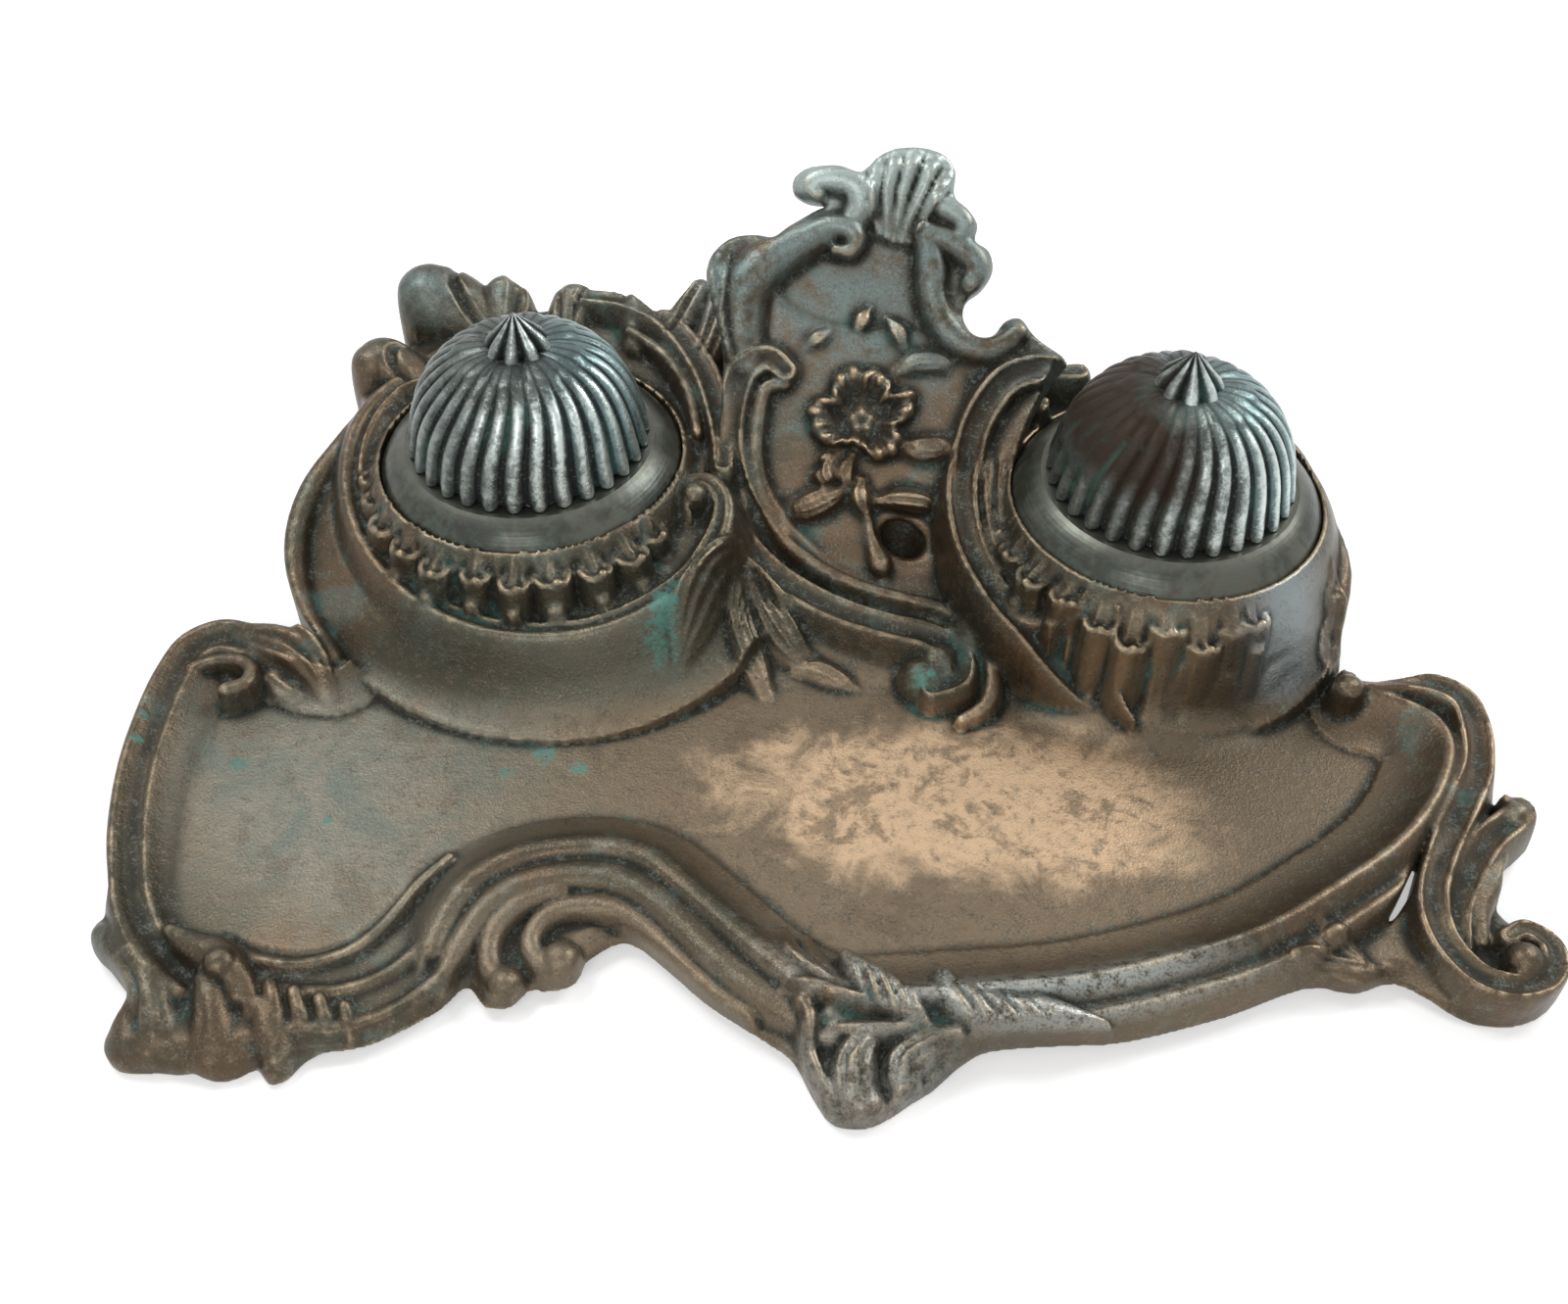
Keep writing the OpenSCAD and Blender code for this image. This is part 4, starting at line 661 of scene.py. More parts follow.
def cut_crest(crest):
    """Mouldings, shell, flower and leaves of the crest, as heights over its plane."""
    inside = -outline_distance(crest, CREST_OUTLINE, 3)
    # A hollow field inside a raised border.
    crest.h = 0.5 - 2.4 * ease((inside - 4) / 8)
    crest.settle()
    # The big C-scroll at the left, in three ridges, from its curl down to the cartouche's foot.
    crest.mould([(-17, 23, 2.4, 2.6), (-22, 26, 2.6, 3.2), (-28, 22, 2.6, 4), (-30.5, 13, 2.6, 4.4),
                 (-30.5, 3, 2.4, 4.4), (-27.5, -7, 2, 4.4), (-22, -16, 1.6, 4.2), (-15, -24, 1.4, 4),
                 (-8, -30, 1.2, 4)], SCROLL, 1)
    crest.mould([(-17, 20, 1.6, 1.8), (-22, 18, 2, 2.2), (-23.5, 9, 2, 2.4), (-23, -1, 1.8, 2.4),
                 (-19.5, -10, 1.6, 2.4), (-13, -18, 1.4, 2.2), (-5, -24.5, 1.2, 2), (4, -29, 1, 2)], BAR)
    crest.boss(-17.5, 21, 3, 2.6)
    # The broad smooth band above it, rising to the two curls at the top.
    crest.mould([(-27, 25, 2, 4.5), (-29.5, 33, 3, 6.4), (-29.5, 42, 3.6, 6.8), (-25, 49.5, 3.6, 6.4),
                 (-17, 55.5, 3.2, 5.4), (-9, 59.6, 3.2, 4.2)], BAR, 2)
    crest.mould([(-15, 57, 3, 2.4), (-8, 60.4, 3.6, 2.8), (-2, 58.6, 3.6, 2.6), (-2.6, 54.4, 3.2, 2),
                 (-6.4, 54.4, 2.6, 1.4)], BAR)
    crest.mould([(-4, 60, 2.4, 3.4), (-1, 66, 3, 4), (-2.6, 71, 3.4, 4), (-8.5, 72.4, 3.6, 3.8),
                 (-13.6, 70.6, 3.4, 3.4), (-12.4, 68, 3, 2.4)], BAR)
    # Right border: the small curl, the C-scroll and the end of the ring.
    crest.mould([(20, 67, 2, 3), (25, 64, 2.6, 3.2), (25.6, 60, 2.6, 2.6)], BAR)
    crest.mould([(17, 60, 2, 3), (25, 57, 3, 3.6), (29.6, 52.4, 3.2, 3.6), (28.4, 47.4, 3, 3)], BAR)
    crest.mould([(16, 60, 2, 3), (18, 52, 2.8, 4), (19, 44, 3, 4), (23, 36, 3, 4), (30.5, 31.6, 3, 3.8),
                 (37.5, 33, 3, 3.6), (41, 36, 3, 3)], BAR, 1)
    crest.mould([(40, -30, 1, 4), (34, -16, 1.4, 4), (31, -2, 1.6, 4.2), (32, 12, 1.8, 4.2),
                 (39, 24, 2, 4.2), (49, 27.4, 2.2, 3.8), (53.4, 23.6, 2.2, 2.8)], SCROLL, 0.8)
    crest.settle()
    # Shell fan.
    for points in (
            [(4, 60, 1.4, 1.6), (2.5, 70, 2, 2.4), (3, 77, 2.2, 2)],
            [(6, 59, 1.4, 1.8), (6, 70, 2, 2.8), (7.5, 79, 2.3, 2.4)],
            [(8, 58, 1.4, 2), (9.6, 70, 2, 3), (12, 79.4, 2.3, 2.6)],
            [(10, 58, 1.4, 2), (13, 68, 2, 3), (16.6, 78, 2.3, 2.6)],
            [(12, 58, 1.4, 1.8), (16, 66, 1.9, 2.8), (20, 73.6, 2.2, 2.4)]):
        crest.petal(points, 1, 0.1)
    # The fluted leaf outside the band, and the small leaves in the upper field.
    for points, flutes in (
            ([(-32, 26, 1.6, 2), (-35.4, 34, 3, 4), (-37, 43, 3.6, 4.6), (-35.6, 50, 2.8, 3.6)], 2.5),
            ([(3, 40.5, 0.9, 1.4), (1.6, 37.5, 2.4, 3.4), (0, 33.6, 1, 1.4)], 1),
            ([(8, 38, 0.9, 1.4), (11, 34.5, 2.6, 3.6), (13, 30.6, 1, 1.4)], 1),
            ([(-12.6, 29.6, 0.9, 1.4), (-9.6, 32, 2.4, 3), (-6.6, 34.4, 0.9, 1.4)], 1),
            # Leaves at the right of the flower, then the golden ones under it.
            ([(11, 24.6, 1.5, 1.8), (16, 27.4, 3.2, 3.6), (22, 27.4, 2.8, 3.2), (26, 25.6, 1, 1)], 2.5),
            ([(13, 6.4, 1.5, 2), (18, 5.4, 3.8, 4), (24, 6.4, 3.2, 3.4), (27, 8, 1, 1)], 2.5),
            ([(8.6, -8.4, 1.5, 2.6), (14, -7.6, 3.4, 5), (20, -8, 3.4, 5), (24, -9.4, 1.6, 3)], 1.5),
            ([(0, -6, 1.6, 2.6), (-4, -8.4, 4, 5), (-10, -11.4, 4, 4.4), (-15, -11.6, 1.2, 1.6)], 2.5),
            ([(-2, 4, 2.2, 2.6), (-5, -1, 4.2, 5), (-3, -5, 3.4, 4.4)], 2.5),
            ([(4, -3.4, 1.8, 3), (4.2, -7.6, 3.4, 5.4), (6, -12.6, 1.4, 2.4)], 1.5),
            ([(1.4, 3, 1.4, 2), (0, -2, 2.6, 4), (1.4, -6, 1.4, 2.4)], 1)):
        crest.petal(points, flutes, 0.2)
    crest.bloom(3, 12, [(-24, 12), (-10, 10), (0, 11.6), (16, 14.6), (33, 15), (43, 10.6), (55, 12.4),
                        (72, 13.4), (90, 12.8), (104, 13.8), (118, 13.4), (140, 11.2), (149, 9.8),
                        (160, 13), (176, 14), (194, 13), (209, 12.6), (228, 10.4), (246, 7.6), (264, 7.2),
                        (280, 8.6), (294, 11.4), (315, 12.8), (336, 12), (350, 10), (360, 11.6),
                        (376, 14.6)], 5.6)
    for k in range(5):
        angle = math.radians(72 * k + 20)
        crest.boss(3.2 + 2.2 * math.cos(angle), 12 + 2 * math.sin(angle), 1.3, 1.8)
    crest.settle()
    crest.bead([(6.4, -12.4, 1.3, 1.6), (7.4, -17, 1.5, 2), (9, -21, 2.6, 2.6), (10.6, -25, 3, 3.4),
                (11.4, -28, 1.6, 1.6)])


# Holes through the crest, each (u, w, half length, half width, turn in degrees).
CREST_HOLES = [(15.6, -17.6, 6, 4.4, -28), (15.4, -0.6, 3.8, 1.8, 0), (-9, -0.6, 2.8, 1.6, 20)]


# ---- The casting: both sheets made one solid shell ----

VOXEL = 0.7
WALL = 3.2
EDGE_FILLET = 1.6
# The crest's plate, how far it leans, and a place on its plane.
CREST_PLATE = 4.6
LEAN = math.sqrt(0.5)
CREST_Y, CREST_Z = 50, 38
# The seat of a collar and the hollow under it, and the bores for the cup and the screws.
SEAT = 32
SEAT_RADIUS = 38.3
UNDER_SEAT = 28.8
PLATFORM_RADIUS = 42
BOSS_RADIUS = 38
CUP_BORE = 26.5
SCREW_CIRCLE = 33
SCREW_HOLE = 1.9
# Fields are cut off at these distances, well inside and just outside the solid.
DEEPEST = -30
FARTHEST = 9
# Where the casting stands on the table, each (x, y, radius).
FEET = [(-134, -104, 12), (-112, -106, 10), (17, -102, 12), (150, -66, 11), (-118, 84, 10), (99, 76, 10)]


def on_grid(chart, field, u, v):
    """Reads a field of a chart at any places, with straight blending between its grid points."""
    i = np.clip((u - chart.us[0]) / chart.step, 0, len(chart.us) - 1.001)
    j = np.clip((v - chart.vs[0]) / chart.step, 0, len(chart.vs) - 1.001)
    a, b = i.astype(int), j.astype(int)
    fi, fj = i - a, j - b
    return ((field[a, b] * (1 - fi) + field[a + 1, b] * fi) * (1 - fj)
            + (field[a, b + 1] * (1 - fi) + field[a + 1, b + 1] * fi) * fj)


def steepness(chart, field):
    """How much longer a field's surface is than its plan."""
    du, dv = np.gradient(field, chart.step)
    return np.sqrt(1 + np.minimum(du * du + dv * dv, 30))


def crest_edge(crest):
    """How far each place of the crest's plane lies outside the crest; its holes lie outside too."""
    edge = np.clip(outline_distance(crest, CREST_OUTLINE, 3), DEEPEST, FARTHEST)
    for u, w, long, short, turn in CREST_HOLES:
        way = math.radians(turn)
        du = (crest.u - u) * math.cos(way) + (crest.v - w) * math.sin(way)
        dw = (crest.v - w) * math.cos(way) - (crest.u - u) * math.sin(way)
        hole = (np.sqrt((du / long) ** 2 + (dw / short) ** 2) - 1) * short
        edge = np.maximum(edge, -hole)
    return edge


def join_crest(body, crest, edge, slope, x, y, z):
    """Joins the crest to one level of the casting. Only the places near its plane are worked out."""
    # The crest's own directions: w up its plane and n out of it.
    w = (y - CREST_Y) * LEAN + (z - CREST_Z) * LEAN
    n = (z - CREST_Z) * LEAN - (y - CREST_Y) * LEAN
    near = (w > -30) & (w < 84) & (n > -12) & (n < 14) & (x > -62) & (x < 66)
    if not near.any():
        return
    i, j = np.where(near.any(1))[0], np.where(near.any(0))[0]
    part = (slice(i[0], i[-1] + 1), slice(j[0], j[-1] + 1))
    pu, pw, pn = x[part], w[part], n[part]
    face = (pn - on_grid(crest, crest.h, pu, pw)) / on_grid(crest, slope, pu, pw)
    sheet = higher(face, on_grid(crest, edge, pu, pw), EDGE_FILLET)
    sheet = higher(sheet, -CREST_PLATE - pn, 1)
    sheet = np.where(near[part], sheet, FARTHEST)
    body[part] = lower(body[part], sheet, 1.4)


def build_casting(tray, crest):
    """Samples the two sheets into a grid of distances and takes its surface, in millimetres."""
    xs = np.arange(-168, 168 + VOXEL, VOXEL)
    ys = np.arange(-119, 119.5 + VOXEL, VOXEL)
    zs = np.arange(-2.1, 99.5, VOXEL)
    x, y = np.meshgrid(xs, ys, indexing="ij")
    outside = np.maximum(outline_distance(tray, OUTLINE, 3), -outline_distance(tray, RIM_HOLE, 1))
    outline = on_grid(tray, np.clip(outside, DEEPEST, FARTHEST), x, y)
    rear = on_grid(tray, np.clip(outline_distance(tray, REAR_WALL, 1), DEEPEST, FARTHEST), x, y)
    top = on_grid(tray, tray.h, x, y)
    slope = on_grid(tray, steepness(tray, tray.h), x, y)
    well = np.minimum.reduce([np.hypot(x - a, y - b) for a, b in (LEFT_WELL, RIGHT_WELL)])
    # The hollow under the casting, and the raised underside between its feet.
    under = on_grid(tray, blur(lowest_near(tray.h, 7), 2), x, y) - WALL
    under = np.where(well < PLATFORM_RADIUS, np.minimum(under, UNDER_SEAT), under)
    feet = np.minimum.reduce([np.hypot(x - a, y - b) - r for a, b, r in FEET])
    bottom = 3 * ease(feet / 6)
    skin = np.maximum(outline, rear)
    holes = np.minimum.reduce([well_bore(x, y, c) for c in (LEFT_WELL, RIGHT_WELL)])
    edge = crest_edge(crest)
    crest_slope = steepness(crest, crest.h)
    grid = np.empty((len(xs), len(ys), len(zs)), np.float32)
    for k, z in enumerate(zs):
        body = higher(higher((z - top) / slope, outline, EDGE_FILLET), bottom - z, 1)
        # The rear leaves overhang the wall behind them.
        body = np.maximum(body, np.minimum(rear, (under - 5 - z) / 1.3))
        hollow = np.maximum((z - under) / 1.2, skin + WALL)
        hollow = np.minimum(hollow, np.maximum(well - BOSS_RADIUS, z - UNDER_SEAT))
        body = np.maximum(body, -hollow)
        join_crest(body, crest, edge, crest_slope, x, y, z)
        pocket = np.maximum(well - SEAT_RADIUS, SEAT - z)
        body = np.maximum(body, -np.minimum(pocket, holes))
        grid[:, :, k] = body
    limit = 3 * VOXEL
    np.clip(grid, -limit, limit, out=grid)
    volume = openvdb.FloatGrid(limit)
    volume.copyFromArray(grid)
    places, quads = volume.convertToQuads(0)
    places = places * VOXEL + (xs[0], ys[0], zs[0])
    return places, quads


def well_bore(x, y, centre):
    """The round bore for the cup and the three screw holes round it."""
    bore = np.hypot(x - centre[0], y - centre[1]) - CUP_BORE
    for k in range(3):
        a, b = around(centre, 30 + 120 * k)(SCREW_CIRCLE)
        bore = np.minimum(bore, np.hypot(x - a, y - b) - SCREW_HOLE)
    return bore


def gather(face_values, faces, count):
    """Adds up, at each corner of a mesh, the values of the faces that meet there."""
    total = np.zeros((count, face_values.shape[1]))
    for corner in range(faces.shape[1]):
        for axis in range(face_values.shape[1]):
            total[:, axis] += np.bincount(faces[:, corner], face_values[:, axis], count)
    return total


def corner_mean(values, faces, count):
    """Averages a value over the faces that meet at each corner."""
    uses = np.bincount(faces.ravel(), minlength=count)[:, None]
    return gather(values[faces].mean(1), faces, count) / np.maximum(uses, 1)


def corner_normals(places, faces):
    """The outward direction at each corner of a mesh of four-sided faces."""
    a = places[faces[:, 2]] - places[faces[:, 0]]
    b = places[faces[:, 3]] - places[faces[:, 1]]
    normal = gather(np.cross(a, b), faces, len(places))
    return normal / np.maximum(np.linalg.norm(normal, axis=1), 1e-12)[:, None]


def relief(places, normals, faces, rounds):
    """How far each corner stands out of its smoothed surroundings, in millimetres."""
    smooth = places
    for _ in range(rounds):
        smooth = corner_mean(smooth, faces, len(places))
    return ((places - smooth) * normals).sum(1)


def new_mesh(name, places, faces, normals):
    """A smooth-shaded object from arrays, in millimetres."""
    mesh = bpy.data.meshes.new(name)
    mesh.vertices.add(len(places))
    mesh.vertices.foreach_set("co", (places * MM).ravel())
    sides = faces.shape[1]
    mesh.loops.add(faces.size)
    mesh.loops.foreach_set("vertex_index", faces.ravel())
    mesh.polygons.add(len(faces))
    mesh.polygons.foreach_set("loop_start", np.arange(0, faces.size, sides))
    mesh.update(calc_edges=True)
    mesh.polygons.foreach_set("use_smooth", np.ones(len(faces), bool))
    mesh.normals_split_custom_set_from_vertices(normals)
    obj = bpy.data.objects.new(name, mesh)
    bpy.context.collection.objects.link(obj)
    return obj


def add_casting(material):
    """Sculpts the casting and lays it down in five lengths, side by side, that share their corners."""
    tray = Chart(left=-170, right=170, low=-121, high=121, step=0.5)
    lay_ground(tray)
    cut_rims(tray)
    cut_right_scrolls(tray)
    cut_feet(tray)
    cut_wells(tray)
    cut_wall_leaves(tray)
    crest = Chart(left=-60, right=64, low=-34, high=86, step=0.4)
    cut_crest(crest)
    places, faces = build_casting(tray, crest)
    places[:, 2] = np.maximum(places[:, 2], 0)
    normals = corner_normals(places, faces)
    # A few rounds of smoothing find the sharp edges, more of them the broad hollows.
    edge = relief(places, normals, faces, 3)
    hollow = relief(places, normals, faces, 14)
    middle = places[faces][:, :, 0].mean(1)
    cuts = [-400, -101, -37, 13, 70, 400]
    names = ("left_lobe", "left_well", "crest_side", "right_well_side", "right_scrolls")
    for name, low, high in zip(names, cuts[:-1], cuts[1:]):
        mine = faces[(middle >= low) & (middle < high)]
        used, back = np.unique(mine, return_inverse=True)
        piece = new_mesh("casting_" + name, places[used], back.reshape(mine.shape), normals[used])
        for label, value in (("edge", edge), ("hollow", hollow)):
            layer = piece.data.attributes.new(label, "FLOAT", "POINT")
            layer.data.foreach_set("value", value[used])
        piece.data.materials.append(material)
        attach(piece, "stand")
        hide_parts("tray_casting")


# ---- Node trees, written as plain arithmetic ----

class Wire:
    """A socket of a node tree that can be added, multiplied and so on."""

    def __init__(self, tree, socket):
        self.tree = tree
        self.socket = socket

    def math(self, operation, *others, first=None, clamp=False):
        """Adds a math node that works on this wire; first is what comes before it."""
        values = (self, *others) if first is None else (first, self)
        return add_node(self.tree, "ShaderNodeMath", {"operation": operation, "use_clamp": clamp},
                        dict(enumerate(values)))

    def __add__(self, other):
        return self.math("ADD", other)

    def __sub__(self, other):
        return self.math("SUBTRACT", other)

    def __mul__(self, other):
        return self.math("MULTIPLY", other)

    def __truediv__(self, other):
        return self.math("DIVIDE", other)

    def __pow__(self, other):
        return self.math("POWER", other)

    def __rsub__(self, other):
        return self.math("SUBTRACT", first=other)

    def __lt__(self, other):
        """1 where this is less than the other, else 0."""
        return self.math("LESS_THAN", other)

    def __abs__(self):
        return self.math("ABSOLUTE")

    __radd__ = __add__
    __rmul__ = __mul__

    def clamped(self):
        """The same, kept between 0 and 1."""
        return self.math("ADD", 0.0, clamp=True)

    def ramp(self, low, high, to_low=0.0, to_high=1.0, kind="SMOOTHSTEP"):
        """Goes from to_low to to_high as this goes from low to high."""
        return add_node(self.tree, "ShaderNodeMapRange", {"interpolation_type": kind}, {
            "Value": self, "From Min": low, "From Max": high, "To Min": to_low, "To Max": to_high})

    def beside(self):
        """All the outputs of the node that this wire comes from."""
        return [Wire(self.tree, output) for output in self.socket.node.outputs]

    def choose(self, yes, no):
        """yes where this is 1 and no where it is 0."""
        return self * yes + (1 - self) * no


def feed(tree, socket, value):
    """Links a wire to a socket, or gives the socket a plain value."""
    if isinstance(value, Wire):
        tree.links.new(value.socket, socket)
    else:
        socket.default_value = value


def add_node(tree, kind, settings=None, inputs=None, output=0):
    """Adds a node with its settings and inputs, by name or number, and gives back one output."""
    node = tree.nodes.new(kind)
    for name, value in (settings or {}).items():
        setattr(node, name, value)
    for name, value in (inputs or {}).items():
        feed(tree, node.inputs[name], value)
    return Wire(tree, node.outputs[output])


def split_place(tree, place):
    """The x, y and z of a place."""
    return add_node(tree, "ShaderNodeSeparateXYZ", inputs={0: place}).beside()


# ---- Lids and knops: shapes that follow a rule ----

def new_shape_tree(name, sizes):
    """A geometry tree with a named input for each size."""
    tree = bpy.data.node_groups.new(name, "GeometryNodeTree")
    tree.interface.new_socket("Geometry", in_out="OUTPUT", socket_type="NodeSocketGeometry")
    for label, value in sizes.items():
        kind = "NodeSocketInt" if isinstance(value, int) else "NodeSocketFloat"
        socket = tree.interface.new_socket(label, in_out="INPUT", socket_type=kind)
        socket.default_value = value
    group_input = tree.nodes.new("NodeGroupInput")
    return tree, {label: Wire(tree, group_input.outputs[label]) for label in sizes}


# Corners closer than this are one, in metres.
SEAM = 0.00002


def grid_shares(tree, columns, rows):
    """A grid with its share round the shape and its share along the section."""
    grid = add_node(tree, "GeometryNodeMeshGrid", inputs={
        "Size X": 1.0, "Size Y": 1.0, "Vertices X": columns, "Vertices Y": rows})
    x, y, _ = split_place(tree, add_node(tree, "GeometryNodeInputPosition"))
    return grid, x + 0.5, y + 0.5


def finish_turned_tree(tree, grid, radius, angle, height, material, layers):
    """Turns the grid into the shape, closes its seam and gives it its finish."""
    place = add_node(tree, "ShaderNodeCombineXYZ", inputs={
        "X": radius * angle.math("COSINE"), "Y": radius * angle.math("SINE"), "Z": height})
    shape = grid
    for label, value in layers.items():
        shape = add_node(tree, "GeometryNodeStoreNamedAttribute", {"data_type": "FLOAT", "domain": "POINT"},
                         {"Geometry": shape, "Name": label, "Value": value})
    for kind, inputs in (("SetPosition", {"Position": place}), ("MergeByDistance", {"Distance": SEAM}),
                         ("SetShadeSmooth", {}), ("RealizeInstances", {}),
                         ("SetMaterial", {"Material": material})):
        shape = add_node(tree, "GeometryNode" + kind, inputs={"Geometry": shape, **inputs})
    group_output = tree.nodes.new("NodeGroupOutput")
    feed(tree, group_output.inputs[0], shape)
    return tree


def lid_tree(material, sizes):
    """A ribbed dome with a wall, a scalloped rim and a star of petals under the knop, in metres."""
    tree, size = new_shape_tree("ribbed_lid", sizes)
    columns = size["Ribs"] * size["Steps per rib"] + 1
    grid, turn_share, along = grid_shares(tree, columns, 74)
    # The section runs up the outside, over the crown, down the inside and back along the rim.
    outer_end, crown_end, inner_end = 0.62, 0.67, 0.97
    roundness, rim_inset, scallop = 0.82, 0.0007, 0.0012
    on_outer = along < outer_end + 0.001
    on_crown = along < crown_end
    on_inner = along < inner_end
    radius, height, wall, crown = size["Radius"], size["Height"], size["Wall"], size["Crown"]
    # Outside: a is the angle up from the rim.
    a = (along / outer_end).math("MINIMUM", 1.0) * (math.pi / 2)
    up = a / (math.pi / 2)
    angle = turn_share * (2 * math.pi)
    swirl = size["Turn"] * (1 - up) ** 1.2 + 0.018 * (up * 8).math("SINE")
    wave = abs(((angle + swirl) * size["Ribs"] / 2).math("SINE"))
    groove = 1 - wave ** 0.75
    # The ribs die out towards the crown, and on the flank that is worn smooth.
    flank = abs(angle - size["Worn angle"]).ramp(0.35, 1.15, 1.0, 0.0) * up.ramp(0.16, 0.3) * size["Worn"]
    fade = up.ramp(0.02, 0.16, 0.75, 1.0) * up.ramp(0.5, 0.84, 1.0, 0.22) * (1 - flank * 0.85)
    petal = abs((angle * 4).math("COSINE"))
    star = (up + 0.13 * petal).ramp(0.84, 0.92)
    depth = size["Rib depth"] * groove * fade * (1 - 0.8 * star)
    lip = up.ramp(0.0, 0.16, 1.0, 0.0) * 0.0016
    swell = star * 0.0007 * (petal ** 0.6) * up.ramp(0.93, 1.0, 1.0, 0.3)
    out_r = crown + (radius - rim_inset - crown) * a.math("COSINE").math("MAXIMUM", 0.0) ** roundness - depth
    out_r = out_r + lip * (wave - 0.4) * 0.6 + swell * 0.5
    out_z = height * a.math("SINE") + swell + up.ramp(0, 0.2, scallop, 0) * (1 - wave)
    # Inside: b is the angle up from the rim again.
    b = ((inner_end - along) / (inner_end - crown_end)).math("MINIMUM", 1.0).math("MAXIMUM", 0.0)
    b = b * (math.pi / 2)
    in_r = crown + (radius - wall - crown) * b.math("COSINE").math("MAXIMUM", 0.0) ** roundness
    in_z = (height - wall) * b.math("SINE")
    # The edge of the bore for the stud, and the rim.
    down = (along - outer_end) / (crown_end - outer_end)
    crown_z = height - wall * down.ramp(0.5, 1.0, kind="LINEAR")
    rim_wave = abs(((angle + size["Turn"]) * size["Ribs"] / 2).math("SINE"))
    rim_r = radius - rim_inset - size["Rib depth"] * (1 - rim_wave ** 0.75) * 0.75
    rim_r = rim_r + (rim_wave - 0.4) * 0.00066
    rim_z = scallop * (1 - rim_wave)
    r = on_outer.choose(out_r, on_crown.choose(size["Bore"], on_inner.choose(in_r, rim_r)))
    z = on_outer.choose(out_z, on_crown.choose(crown_z, on_inner.choose(in_z, rim_z)))
    shown = fade.ramp(0.2, 0.9, 0.25, 1.0)
    edge = on_outer.choose((wave - 0.45) * shown * 0.8, -0.5)
    hollow = on_outer.choose((wave ** 1.2 * 2.4 - 1) * shown, -1.2)
    layers = {"edge": edge, "hollow": hollow}
    return finish_turned_tree(tree, grid, r, angle, z + size["Base"], material, layers)


def knop_tree(material, sizes):
    """A lobed bud with its stud, in metres."""
    tree, size = new_shape_tree("lobed_knop", sizes)
    grid, turn_share, along = grid_shares(tree, size["Lobes"] * size["Steps per lobe"] + 1, 60)
    stud_end = 0.12
    t = ((along - stud_end) / (1 - stud_end)).math("MAXIMUM", 0.0)
    on_stud = along < stud_end
    angle = turn_share * (2 * math.pi)
    wave = abs((angle * size["Lobes"] / 2).math("COSINE"))
    # A low fluted cone: its lobes run from the point out to rounded ends that lie on the lid.
    body = (1 - t) ** 1.02 * t.ramp(0.0, 0.1, 0.86, 1.0)
    lobe = 1 - 0.42 * (1 - wave ** 0.8) * t.ramp(0.0, 0.2, 1.0, 0.8) * t.ramp(0.8, 1.0, 1.0, 0.3)
    closed_top = t.ramp(0.965, 1.0, 1.0, 0.0, "LINEAR")
    radius = size["Radius"] * (body * lobe).math("MINIMUM", 1.0) * closed_top
    sag = 0.0017 * t.ramp(0.0, 0.3, 1.0, 0.0) * (0.35 + 0.65 * wave)
    share = (along / stud_end).math("MINIMUM", 1.0)
    stud_r = size["Stud radius"] * share.ramp(0.0, 0.2, kind="LINEAR")
    r = on_stud.choose(stud_r, radius)
    foot, base = size["Stud foot"], size["Base"]
    stud_z = foot + (base - foot) * share.ramp(0.2, 0.95, kind="LINEAR")
    z = on_stud.choose(stud_z, base + size["Height"] * t - sag)
    layers = {"edge": wave - 0.5, "hollow": wave * 1.6 - 1.1}
    return finish_turned_tree(tree, grid, r, angle, z, material, layers)


def shape_from_tree(name, tree, values, centre, material):
    """Runs a tree with these sizes and keeps the result as a plain mesh, moved to its place."""
    holder_mesh = bpy.data.meshes.new(name + "_holder")
    holder = bpy.data.objects.new(name + "_holder", holder_mesh)
    bpy.context.collection.objects.link(holder)
    modifier = holder.modifiers.new("shape", "NODES")
    modifier.node_group = tree
    for item in tree.interface.items_tree:
        if item.item_type == "SOCKET" and item.in_out == "INPUT" and item.name in values:
            modifier[item.identifier] = values[item.name]
    graph = bpy.context.evaluated_depsgraph_get()
    graph.update()
    mesh = bpy.data.meshes.new_from_object(holder.evaluated_get(graph), depsgraph=graph)
    holder.modifiers.remove(modifier)
    bpy.data.objects.remove(holder)
    bpy.data.meshes.remove(holder_mesh)
    mesh.name = name
    count = len(mesh.vertices)
    places = np.empty(count * 3)
    mesh.vertices.foreach_get("co", places)
    places = places.reshape(count, 3) + (centre[0] * MM, centre[1] * MM, 0)
    mesh.vertices.foreach_set("co", places.ravel())
    mesh.update()
    turn_outwards(mesh)
    if not mesh.materials:
        mesh.materials.append(material)
    obj = bpy.data.objects.new(name, mesh)
    bpy.context.collection.objects.link(obj)
    return obj


def turn_outwards(mesh):
    """Turns a closed mesh's faces outwards."""
    work = bmesh.new()
    work.from_mesh(mesh)
    bmesh.ops.remove_doubles(work, verts=work.verts, dist=0.00001)
    bmesh.ops.recalc_face_normals(work, faces=work.faces)
    if work.calc_volume(signed=True) < 0:
        bmesh.ops.reverse_faces(work, faces=work.faces)
    work.to_mesh(mesh)
    work.free()
    mesh.update()


# ---- Finishes ----

def new_finish(name):
    """An empty finish: its material, node tree and shader."""
    material = bpy.data.materials.new(name)
    material.use_nodes = True
    tree = material.node_tree
    tree.nodes.clear()
    shader = tree.nodes.new("ShaderNodeBsdfPrincipled")
    out = tree.nodes.new("ShaderNodeOutputMaterial")
    tree.links.new(shader.outputs[0], out.inputs["Surface"])
    return material, tree, shader


